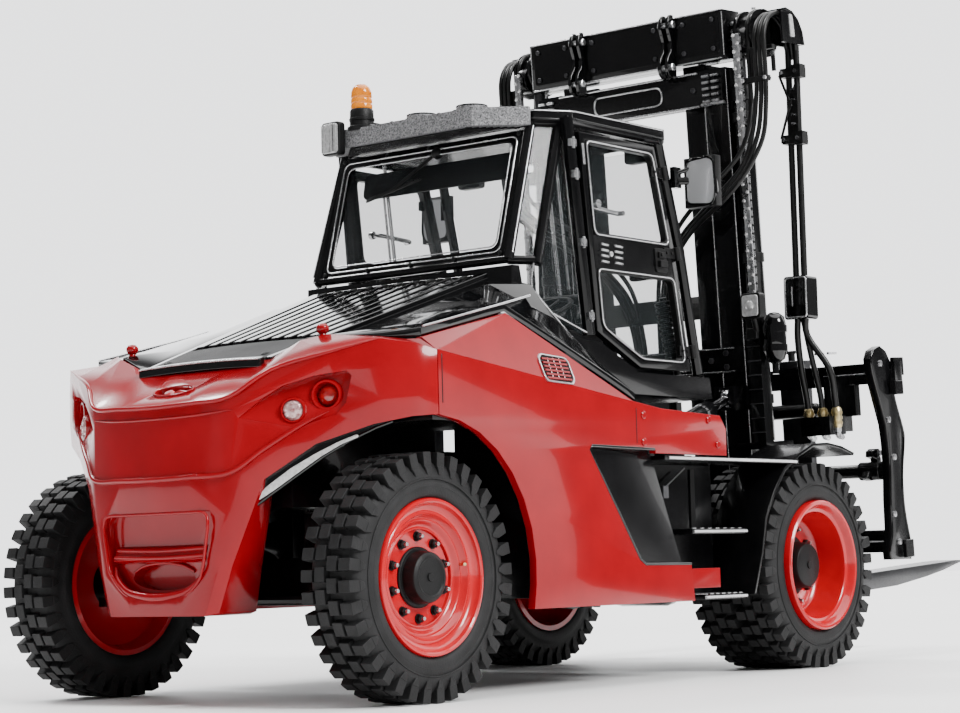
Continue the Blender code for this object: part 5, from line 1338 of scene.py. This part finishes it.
for word, side in SIDES:
    place = mast_side(side)
    cut = Shape(place)
    mast_box(cut, 63.0, 80.0, -12.0, 2.6, 221.8, 245.0)
    mast_box(cut, 66.2, 80.0, -12.0, 2.6, 214.0, 222.2)
    carve(DONE["mast_crosshead"], cut)
    # A pale slot on the cover's end face is a painted highlight.
    slot_highlight = Shape(place)
    slot_highlight.prism(rounded([(8.4, 224.6), (11.6, 224.6), (10.6, 234.0), (8.0, 234.6)], 1.3), "x",
                     72.4, 72.9)
    make("cover_painted_highlight_" + word, slot_highlight, "inner_mast", "pale_and_painted_highlight", angle=50.0)
    hoses = Shape(place)
    for x in (65.9, 68.2, 70.5):
        path = [(x, -10.0, 208.0), (x, -10.0, 214.0), (x, -10.0, 221.0)]
        for k in range(1, 9):
            a = math.pi * (1.0 - k / 9.0)
            path.append((x, 2.6 + 12.6 * math.cos(a), 221.0 + 13.6 * math.sin(a)))
        path += [(x, 15.4, 221.0), (x * 0.5 + 34.1, 16.2, 216.0)]
        hoses.tube(smooth_path(path, 3), 0.98, 10)
    path = [(61.2, -7.7, 196.0), (61.2, -7.7, 227.0)]
    for k in range(1, 9):
        a = math.pi * (1.0 - k / 9.0)
        path.append((61.2, 2.0 + 9.7 * math.cos(a), 227.0 + 9.7 * math.sin(a)))
    path += [(61.2, 11.7, 226.0), (61.2, 11.9, 212.0)]
    hoses.tube(path, 0.98, 10)
    make("head_hoses_" + word, hoses, "inner_mast", "hose_rubber", angle=60.0)
    swoop = Shape(flip(side))
    top_y, top_z = on_mast((0.0, -10.0, 208.6))[1:]
    ends = ((65.9, 0.0), (68.2, 1.9), (70.5, 3.8))
    for x, gap in ends:
        path = [(x, top_y, top_z), (x, top_y - 0.6, 238.0 - gap), (x - 1.2, 236.0, 223.0 - gap),
                (61.0 + gap * 0.5, 233.6 - gap * 0.3, 209.0 - gap),
                (51.0 + gap * 0.4, 232.4 - gap * 0.3, 199.0 - gap * 1.1),
                (39.5, 233.4 - gap * 0.3, 191.0 - gap * 1.1), (28.0, 236.2, 183.6 - gap * 1.1),
                (16.5 + gap * 0.2, 240.6, 172.0 - gap), (8.6 + gap * 0.7, 247.0, 158.0 - gap),
                (6.4 + gap * 0.7, 250.4, 140.0), (6.2 + gap * 0.7, 251.4, 124.0)]
        swoop.tube(smooth_path(path, 5), 1.0, 10)
    path = [(61.2, on_mast((0, -7.7, 196.4))[1], on_mast((0, -7.7, 196.4))[2]),
            (60.8, 239.2, 226.0), (58.0, 235.6, 214.0), (49.0, 233.0, 204.0),
            (38.0, 233.6, 196.2), (27.0, 236.0, 188.0), (15.0, 240.4, 176.0),
            (7.0, 246.4, 162.0), (4.2, 250.4, 140.0), (4.0, 251.4, 124.0)]
    swoop.tube(smooth_path(path, 5), 1.0, 10)
    make("mast_hoses_" + word, swoop, "inner_mast", "hose_rubber", angle=60.0)
    ties = Shape(place)
    mast_box(ties, 59.6, 72.0, -11.4, -8.6, 204.6, 207.0)
    mast_box(ties, 59.6, 72.0, -6.0, -3.6, 218.6, 220.4)
    ties.rod((60.4, -12.2, 205.8), (60.4, -8.0, 205.8), 0.8, 8)
    ties.rod((71.2, -12.2, 205.8), (71.2, -8.0, 205.8), 0.8, 8)
    mast_box(ties, 62.6, 66.0, -9.0, -4.8, 204.8, 220.0)
    make("hose_clamps_" + word, ties, "inner_mast", "black_plastic", bevel=0.3)
    dots = Shape(place)
    for x in (60.4, 71.2):
        dots.nut((x, -12.0, 205.8), (0, -1, 0), 1.5, 0.8)
    for s in (222.0, 225.4, 228.8, 232.0):
        dots.nut((52.6, -5.0, s), (0, -1, 0), 1.6, 0.9)
    for x, v, s in ((59.2, 2.0, 237.8), (66.2, 10.5, 232.2)):
        dots.nut((x, v, s), (0, 0, 1), 1.8, 1.0)
    make("hose_clamp_bolts_" + word, dots, "inner_mast", "chain_steel", angle=32.0)
    bulkhead = Shape(place)
    for k in range(5):
        for j in range(2):
            bulkhead.rod((39.8 + 4.6 * j, -12.0, 199.8 + 2.7 * k), (43.2 + 4.6 * j, -12.0,
                         199.8 + 2.7 * k), 0.6, 8)
    bulkhead.rod((38.6, -11.4, 198.6), (50.0, -11.4, 198.6), 0.8, 8)
    make("rail_fittings_" + word, bulkhead, "outer_mast", "chain_steel", angle=50.0)

    links = Shape(place)
    heads = Shape(place)
    pitch = 3.5
    count = 49
    for k in range(count):
        s = 57.4 + pitch * k
        outline = []
        for j in range(4):
            a = math.pi * (1.0 + j / 3.0)
            outline.append((-12.05 + 1.1 * math.cos(a), s + 1.1 * math.sin(a)))
        for j in range(4):
            a = math.pi * j / 3.0
            outline.append((-12.05 + 1.1 * math.cos(a), s + pitch + 1.1 * math.sin(a)))
        offsets = (56.95, 58.2, 59.45) if k % 2 else (57.58, 58.83)
        for x in offsets:
            if s + pitch < 227.0:
                links.prism(outline, "x", x, x + 0.58)
        links.lathe([(56.6, 0.0), (56.6, 0.55), (60.4, 0.55), (60.4, 0.0)], (-12.05, s), "x", 8)
        heads.lathe([(-13.75, 0.0), (-13.6, 0.5), (-13.4, 0.76), (-12.9, 0.76), (-12.9, 0.0)],
                    (58.5 + (0.94 if k % 2 else -0.94), s), "y", 8)
    make("chain_links_" + word, links, "inner_mast", "black_plastic", angle=30.0,
         replaces=("chain_" + word,))
    # Pin heads are pale lacquer, not steel: their white is a painted highlight.
    make("chain_pins_painted_highlight_" + word, heads, "inner_mast", "pale_and_painted_highlight", angle=40.0)
    stem = Shape(place)
    stem.lathe([(101.0, 0.0), (101.0, 2.7), (216.9, 2.7), (216.9, 0.0)], (53.6, -3.0), "z", 20)
    make("rod_sleeve_" + word, stem, "inner_mast", "dark_steel", angle=40.0)
    gland = Shape(place)
    gland.lathe([(199.0, 4.3), (199.0, 4.9), (203.4, 4.9), (204.4, 4.5), (205.4, 4.5),
                 (205.4, 2.95), (199.0, 2.95)], (53.6, -3.0), "z", 24)
    for s in (70.0, 130.0, 190.0):
        gland.lathe([(s, 4.1), (s, 4.75), (s + 4.0, 4.75), (s + 4.0, 4.1)], (53.6, -3.0), "z", 24)
        mast_box(gland, 48.6, 53.0, -3.6, -2.4, s + 0.4, s + 3.6)
    make("barrel_gland_" + word, gland, "outer_mast", "black_plastic", bevel=0.2, segments=1)
    # Silver lines along the rail edges are painted highlights.
    rail_highlight = Shape(place)
    for x, v in ((49.15, -7.6), (49.15, 7.6), (38.0, -8.15)):
        rail_highlight.tube([(x, v, -6.0), (x, v, 213.0)], 0.22, 6)
    make("rail_painted_highlights_" + word, rail_highlight, "outer_mast", "silver_trim_and_painted_highlight", angle=60.0)
    pad = Shape(place)
    for s in (6.0, 40.0, 150.0, 196.0):
        mast_box(pad, 49.0, 50.0, -5.0, 5.0, s, s + 9.0)
        for v in (-3.2, 3.2):
            pad.nut((49.8, v, s + 4.5), (1, 0, 0), 1.9, 1.0)
    make("rail_pads_" + word, pad, "outer_mast", "black_plastic", bevel=0.25, segments=1)


# ------------------------------------------------------------ hanging hoses

def hang(name, shape, mat, replaced=()):
    """A piece built in place and left on no body; a replaced CAD node is hidden."""
    mesh = mesh_from(name, shape)
    obj = placed(name, mesh)
    mesh.materials.append(MATS[mat])
    mesh.shade_smooth()
    mesh.set_sharp_from_angle(angle=math.radians(40.0))
    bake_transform(obj)
    if replaced:
        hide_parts(*replaced)


for word, side in SIDES:
    drop = Shape(flip(side))
    for dx, end_x in ((-2.0, 63.4), (2.0, 77.0)):
        straight = [(68.2 + dx, 263.6, 262.0 - 4.6 * k) for k in range(24)]
        bend = [(68.2 + dx, 263.9, 148.0), (67.0 + dx * 1.2, 265.6, 138.0),
                (end_x, 269.6, 124.0), (end_x, 273.2, 112.0), (end_x, 274.4, 105.0)]
        drop.tube(smooth_path(straight[::2] + bend, 4), 1.4, 12)
    third = [(68.2, 262.6, 160.0), (68.4, 264.4, 146.0), (69.4, 268.0, 130.0),
             (70.2, 272.8, 114.0), (70.2, 274.4, 105.0)]
    drop.tube(smooth_path(third, 5), 1.25, 12)
    hang("hose_drop_lines_" + word, drop, "hose_rubber", ("hose_drop_" + word,))
    clamps = Shape(flip(side))
    for z in (250.8, 222.0):
        clamps.box((63.6, 260.6, z - 1.9), (72.8, 266.6, z + 1.9))
        clamps.box((70.0, 259.6, z - 2.8), (74.2, 264.0, z + 2.8))
        clamps.box((62.4, 261.6, z - 1.1), (64.0, 265.6, z + 1.1))
    clamps.prism([(66.4, 224.0), (71.4, 224.0), (71.4, 249.0), (68.8, 243.0), (67.8, 232.0)], "y",
                 261.4, 262.0)
    clamps.rod((63.0, 261.0, 222.6), (68.4, 261.2, 239.0), 0.6, 8)
    clamps.rod((63.0, 261.0, 250.0), (68.4, 261.2, 236.0), 0.6, 8)
    hang("hose_drop_clamps_" + word, clamps, "black_plastic")
    marks = Shape(flip(side))
    for z in (250.8, 222.0):
        for x in (65.0, 71.8):
            marks.rod((x, 259.0, z), (x, 260.9, z), 0.95, 8)
    for z in (243.4, 239.2, 232.6, 228.6):
        marks.rod((68.6, 260.6, z), (70.6, 260.6, z - 0.4), 0.6, 8)
    hang("hose_drop_bolts_" + word, marks, "rod_chrome")
    block = Shape(flip(side))
    block.prism(rectangle(62.4, 144.8, 74.0, 163.2, 1.6), "y", 259.4, 267.4)
    hang("hose_block_" + word, block, "gloss_black")
    # A silver outline and streak on the black block are painted highlights.
    pale = Shape(flip(side))
    pale.tube([(x, 259.2, z) for x, z in rectangle(63.1, 145.6, 73.3, 162.4, 1.4)], 0.42, 8,
              closed=True)
    pale.rod((66.4, 259.2, 150.4), (66.4, 259.2, 158.8), 0.35, 6)
    hang("hose_block_painted_highlight_" + word, pale, "silver_trim_and_painted_highlight")


# ------------------------------------------------------------ carriage and forks

brass = Shape()
elbows = Shape()
for word, side in SIDES:
    for x in (63.4, 70.2, 77.0):
        p = (side * x, 274.4, 105.6)
        brass.tube([(p[0], p[1], 107.6), (p[0], p[1], 106.6), (p[0], p[1], 99.6),
                    (p[0], p[1], 98.6)], lambda t: 2.1 if 0.1 < t < 0.9 else 1.6, 14)
        for z in (100.4, 102.6, 104.8):
            brass.lathe([(z, 1.8), (z, 2.4), (z + 1.0, 2.4), (z + 1.0, 1.8)], (p[0], p[1]), "z",
                        14)
        elbows.tube(smooth_path([(p[0], 274.4, 99.4), (p[0], 274.8, 96.8),
                                 (p[0] - side * 0.8, 277.0, 95.6),
                                 (p[0] - side * 1.6, 281.0, 95.2)], 4), 1.3, 10)
        elbows.nut((p[0], 274.4, 97.2), (0, 0, 1), 3.6, 1.8)
make("hose_fittings", brass, "fork_carriage", "brass", angle=35.0)
make("hose_elbows", elbows, "fork_carriage", "chain_steel", angle=35.0)

for word, side in SIDES:
    place = mast_side(side)
    ends = Shape(place)
    mast_box(ends, 92.2, 94.4, 38.4, 46.4, 78.6, 86.4)
    mast_box(ends, 92.2, 95.6, 36.4, 42.8, 70.4, 76.4)
    mast_box(ends, 92.2, 94.2, 38.4, 45.0, 1.0, 8.6)
    mast_box(ends, 67.4, 76.8, 34.4, 38.4, 62.4, 76.0)
    make("carriage_blocks_" + word, ends, "fork_carriage", "black_paint", bevel=0.4)
    hook = Shape(place)
    hook.prism([(29.4, 36.0), (33.0, 34.4), (39.6, 34.6), (42.6, 38.0), (42.4, 44.0), (39.4, 47.4),
                (35.0, 47.2), (34.4, 44.6), (38.4, 43.4), (39.4, 39.6), (36.6, 37.0),
                (32.0, 39.2)], "x", 79.4, 82.6)
    hook.rod((76.4, 35.4, 38.5), (86.6, 35.4, 38.5), 4.0, 18)
    hook.rod((83.4, 39.0, 46.0), (78.6, 39.0, 46.0), 2.0, 14)
    make("side_shift_bracket_" + word, hook, "fork_carriage", "black_paint", bevel=0.3)
    bits = Shape(place)
    bits.nut((86.4, 35.4, 38.5), (1, 0, 0), 4.6, 1.4)
    bits.nut((83.2, 39.0, 46.0), (1, 0, 0), 2.6, 1.2)
    for v, s in ((30.0, 84.0), (36.6, 44.0), (36.4, 8.0), (34.0, 60.0), (33.4, 20.0)):
        bits.lathe([(91.6, 0.0), (91.6, 1.5), (92.7, 1.3), (92.9, 0.0)], (v, s), "x", 12)
    for x in (56.8, 63.0):
        bits.rod((x, 37.0, 90.4), (x, 43.8, 90.4), 0.6, 8)
    bits.tube([(60.0, 37.4, 80.2), (86.0, 37.4, 80.2)], 0.35, 6)
    bits.tube([(24.0, 37.4, 8.4), (86.0, 37.4, 8.4)], 0.35, 6)
    make("carriage_pins_" + word, bits, "fork_carriage", "chain_steel", angle=32.0)
    rim = Shape(place)
    plate = [(25.0, 89.6), (22.5, 86.0), (23.0, 80.0), (26.4, 71.0), (31.4, 58.0), (32.4, 50.0),
             (32.4, 38.0), (31.0, 26.0), (30.4, 12.0), (27.5, 5.0), (28.0, 1.0)]
    rim.tube(smooth_path([(91.9, v + 0.5, s) for v, s in plate], 4), 0.5, 8)
    front = [(46.6, 6.0), (43.2, 22.0), (43.4, 36.0), (46.8, 50.0), (46.4, 56.0), (41.0, 70.0),
             (39.6, 84.0)]
    rim.tube(smooth_path([(91.9, v - 0.5, s) for v, s in front], 4), 0.5, 8)
    make("end_plate_rims_" + word, rim, "fork_carriage", "gloss_black", angle=60.0)
    arms = Shape(place)
    for s in (17.0, 80.0):
        arms.lathe([(21.0, 0.0), (21.0, 5.6), (22.4, 5.6), (22.4, 0.0)], (0.0, s), "x", 24)
        arms.lathe([(17.0, 0.0), (17.0, 3.4), (18.2, 3.4), (18.2, 0.0)], (0.0, s), "x", 18)
    for s in (28.0, 40.0, 52.0, 64.0):
        arms.lathe([(17.2, 0.0), (17.2, 1.6), (18.4, 1.6), (18.4, 0.0)], (30.0, s), "x", 12)
    mast_box(arms, 15.6, 24.6, 33.8, 38.2, 66.0, 74.0)
    mast_box(arms, 15.6, 24.6, 33.8, 38.2, 14.0, 22.0)
    make("carriage_arm_bosses_" + word, arms, "fork_carriage", "black_plastic", bevel=0.3)
    cylinder = Shape(place)
    cylinder.lathe([(30.0, 0.0), (30.0, 3.2), (60.0, 3.2), (60.6, 2.6), (62.0, 2.6), (62.0, 0.0)],
                   (30.2, 66.0), "x", 20)
    make("side_shift_barrel_" + word, cylinder, "fork_carriage", "gloss_black", bevel=0.25,
         segments=1)
    rod_shape = Shape(place)
    rod_shape.rod((61.8, 30.2, 66.0), (67.6, 30.2, 66.0), 1.5, 16)
    make("side_shift_rod_" + word, rod_shape, "fork_carriage", "rod_chrome", angle=40.0)
    body = "fork_%s_body" % word
    tip = DONE["fork_" + word]
    for edge in (-1.0, 1.0):
        x0 = 40.0 + edge * 7.0
        wedge = Shape(place)
        wedge.add([(x0 - edge * 3.4, 185.0, s) for s in (-24.0, 0.0)] +
                  [(x0 + edge * 1.0, 185.0, s) for s in (-24.0, 0.0)] +
                  [(x0 + edge * 1.0, 150.0, s) for s in (-24.0, 0.0)],
                  [(0, 2, 4), (1, 5, 3), (0, 1, 3, 2), (2, 3, 5, 4), (4, 5, 1, 0)])
        carve(tip, wedge)
    lock = Shape(place)
    lock.rod((40.0, 44.6, 92.4), (40.0, 44.6, 86.0), 1.6, 14)
    lock.rod((37.4, 44.6, 92.4), (42.6, 44.6, 92.4), 0.7, 8)
    lock.tube(smooth_path([(38.0, 47.8, 14.0), (38.0, 49.2, 12.0), (38.0, 49.2, 9.0),
                           (38.0, 47.8, 7.0)], 3), 0.5, 8)
    make("fork_latch_" + word, lock, body, "black_plastic", angle=40.0)


# ------------------------------------------------------------ tilt cylinders and flank parts

for word, side in SIDES:
    rings = Shape(lambda p, side=side: flip(side)(on_tilt(p)))
    for t in (8.0, 24.0):
        rings.lathe([(t, 3.4), (t, 4.4), (t + 1.6, 4.4), (t + 1.6, 3.4)], (45.0, 0.0), "z", 20)
    make("tilt_rings_" + word, rings, "tilt_cylinder_" + word, "chain_steel", angle=35.0)
    flank = Shape(flip(side))
    flank.lathe([(125.0, 0.0), (125.4, 1.8), (127.2, 4.0), (130.0, 4.9), (142.0, 4.9),
                 (145.0, 4.1), (146.6, 2.0), (147.0, 0.0)], (66.9, 243.6), "z", 24)
    flank.rod((66.9, 243.6, 121.0), (66.9, 243.6, 126.0), 1.4, 12)
    for z in (130.6, 138.6):
        flank.box((61.0, 242.4, z), (63.4, 244.8, z + 2.4))
        flank.lathe([(z - 0.2, 4.8), (z - 0.2, 5.3), (z + 2.6, 5.3), (z + 2.6, 4.8)],
                    (66.9, 243.6), "z", 24)
    make("accumulator_" + word, flank, "outer_mast", "gloss_black", angle=40.0)
    shell = Shape(flip(side))
    shell.prism(rectangle(60.2, 143.4, 69.8, 154.0, 1.8), "y", 228.4, 233.0)
    shell.rod((65.0, 231.0, 144.0), (63.0, 236.0, 138.6), 1.2, 10)
    shell.box((58.6, 234.4, 135.6), (63.8, 236.6, 140.0))
    shell.box((56.4, 236.0, 135.6), (61.4, 240.0, 137.6))
    make("mast_lamp_shell_" + word, shell, "outer_mast", "black_plastic", bevel=0.4)
    shell = Shape(flip(side))
    shell.prism(rectangle(61.1, 144.3, 68.9, 153.1, 1.4), "y", 227.9, 228.8)
    shell.lathe([(227.3, 0.0), (227.5, 1.6), (228.2, 2.4), (228.2, 0.0)], (65.0, 148.7), "y", 16)
    make("mast_lamp_lens_" + word, shell, "outer_mast", "pale_and_painted_highlight", bevel=0.2, segments=1)
    guide = Shape(mast_side(side))
    for k in range(9):
        s = 58.0 + 6.0 * k
        guide.rod((55.2, -15.4, s), (61.8, -15.4, s), 0.32, 6)
    make("chain_guard_ribs_" + word, guide, "outer_mast", "dark_steel", angle=50.0)

    cap = Shape(flip(side))
    for y in (128.0, 172.0):
        cap.box((45.6, y, 35.6), (70.5, y + 3.0, 36.3))
        cap.box((70.0, y, 35.6), (70.7, y + 3.0, 80.0))
    cap.lathe([(69.6, 0.0), (69.6, 5.2), (71.6, 5.2), (72.4, 4.6), (72.4, 3.4), (71.8, 3.0),
               (71.8, 0.0)], (139.0, 68.0), "x", 28)
    cap.box((71.6, 135.4, 67.2), (73.0, 142.6, 68.8))
    cap.tube(smooth_path([(70.8, 128.0, 60.0), (73.4, 131.0, 55.0), (73.4, 143.0, 47.0),
                          (72.0, 148.0, 42.6)], 5), 0.8, 8)
    make("tank_straps_" + word, cap, "truck_body", "black_plastic", bevel=0.2, segments=1)
    tie = Shape(flip(side))
    tie.box((71.4, 148.0, 68.6), (74.6, 151.4, 73.4))
    tie.rod((73.0, 150.6, 72.6), (73.4, 164.0, 80.4), 0.5, 8)
    make("tank_tie_" + word, tie, "truck_body", "grey_metal", bevel=0.3)
    beam = Shape(flip(side))
    for y in (80.0, 96.0, 112.0):
        beam.box((44.0, y, 40.0), (46.6, y + 3.0, 84.0))
    beam.rod((46.6, 66.0, 58.0), (46.6, 118.0, 58.0), 1.6, 12)
    beam.rod((46.6, 66.0, 53.0), (46.6, 118.0, 53.0), 1.2, 12)
    for y in (72.0, 104.0):
        beam.box((45.0, y, 50.6), (49.2, y + 4.0, 61.0))
    make("chassis_ribs_" + word, beam, "truck_body", "black_paint", bevel=0.3, segments=1)


# ------------------------------------------------------------ camera, light and floor

# The camera that the perspective fit of the photo gave.
LENS = 89.016
SENSOR = 36.0
NEAR_CLIP = 0.01
CAMERA_PLACE = (592.92, -599.17, 46.06)
YAW = math.radians(39.086)
PITCH = math.radians(4.949)
ROLL = math.radians(-1.457)

camera = placed("camera", bpy.data.cameras.new("camera"))
camera.data.lens = LENS
camera.data.sensor_width = SENSOR
camera.data.sensor_fit = "HORIZONTAL"
camera.data.clip_start = NEAR_CLIP
ahead = Vector((-math.sin(YAW) * math.cos(PITCH), math.cos(YAW) * math.cos(PITCH),
                math.sin(PITCH)))
across = ahead.cross(Vector((0, 0, 1))).normalized()
upward = across.cross(ahead)
right = across * math.cos(ROLL) + upward * math.sin(ROLL)
above = upward * math.cos(ROLL) - across * math.sin(ROLL)
pose = Matrix((right, above, -ahead)).transposed().to_4x4()
pose.translation = world(CAMERA_PLACE)
camera.matrix_world = pose
bpy.context.scene.camera = camera


# Suns: name, direction they shine from, strength and angular size in degrees.
SUNS = (("key_light", (1.3, 0.0, 0.9), 4.8, 20.0), ("top_light", (0.1, 0.1, 1.3), 4.4, 70.0),
        ("left_light", (-0.7, 0.05, 0.85), 1.7, 10.0), ("front_light", (0.1, 1.2, 0.7), 1.4, 50.0),
        ("rear_light", (-0.3, -1.2, 0.5), 0.12, 40.0))
for name, source, power, spread in SUNS:
    lamp = bpy.data.lights.new(name, "SUN")
    lamp.energy = power
    lamp.angle = math.radians(spread)
    sun = placed(name, lamp)
    sun.location = source
    sun.rotation_euler = (Vector() - Vector(source)).to_track_quat("-Z", "Y").to_euler()

# The world lights the truck from one bright side. The camera sees it as an even backdrop.
BRIGHT_SIDE = (-0.63, 0.77, 0.1)
BRIGHT_EDGE = 0.7
BRIGHT_CORE = 0.95
WORLD_DIM = 0.22
WORLD_BRIGHT = 3.2
BACKDROP = 2.6
WORLD_COLOUR = (0.98, 0.985, 1.0, 1.0)
FLOOR_HALF = 4

surround = bpy.data.worlds.new("surround")
surround.use_nodes = True
sky = surround.node_tree
backdrop = sky.nodes["Background"]
direction = sky.nodes.new("ShaderNodeTexCoord")
facing = sky.nodes.new("ShaderNodeVectorMath")
facing.operation = "DOT_PRODUCT"
facing.inputs[1].default_value = BRIGHT_SIDE
link(sky, direction.outputs["Generated"], facing.inputs[0])
fade = sky.nodes.new("ShaderNodeMapRange")
fade.interpolation_type = "SMOOTHSTEP"
fade.inputs["From Min"].default_value = BRIGHT_EDGE
fade.inputs["From Max"].default_value = BRIGHT_CORE
fade.inputs["To Min"].default_value = WORLD_DIM
fade.inputs["To Max"].default_value = WORLD_BRIGHT
link(sky, facing.outputs["Value"], fade.inputs["Value"])
seen = sky.nodes.new("ShaderNodeLightPath")
choice = sky.nodes.new("ShaderNodeMix")
choice.inputs["B"].default_value = BACKDROP
link(sky, seen.outputs["Is Camera Ray"], choice.inputs["Factor"])
link(sky, fade.outputs["Result"], choice.inputs["A"])
link(sky, choice.outputs["Result"], backdrop.inputs["Strength"])
backdrop.inputs["Color"].default_value = WORLD_COLOUR
bpy.context.scene.world = surround

ground = bpy.data.meshes.new("floor")
corners = [(-1, -1), (1, -1), (1, 1), (-1, 1)]
ground.from_pydata([(x * FLOOR_HALF, y * FLOOR_HALF, 0) for x, y in corners], [], [(0, 1, 2, 3)])
floor = placed("floor", ground)
ground.materials.append(surface("pale_floor", (0.84, 0.84, 0.835), (0.88, 0.88, 0.875), 0.5,
                                0.0, 3.0, spread=0.08))
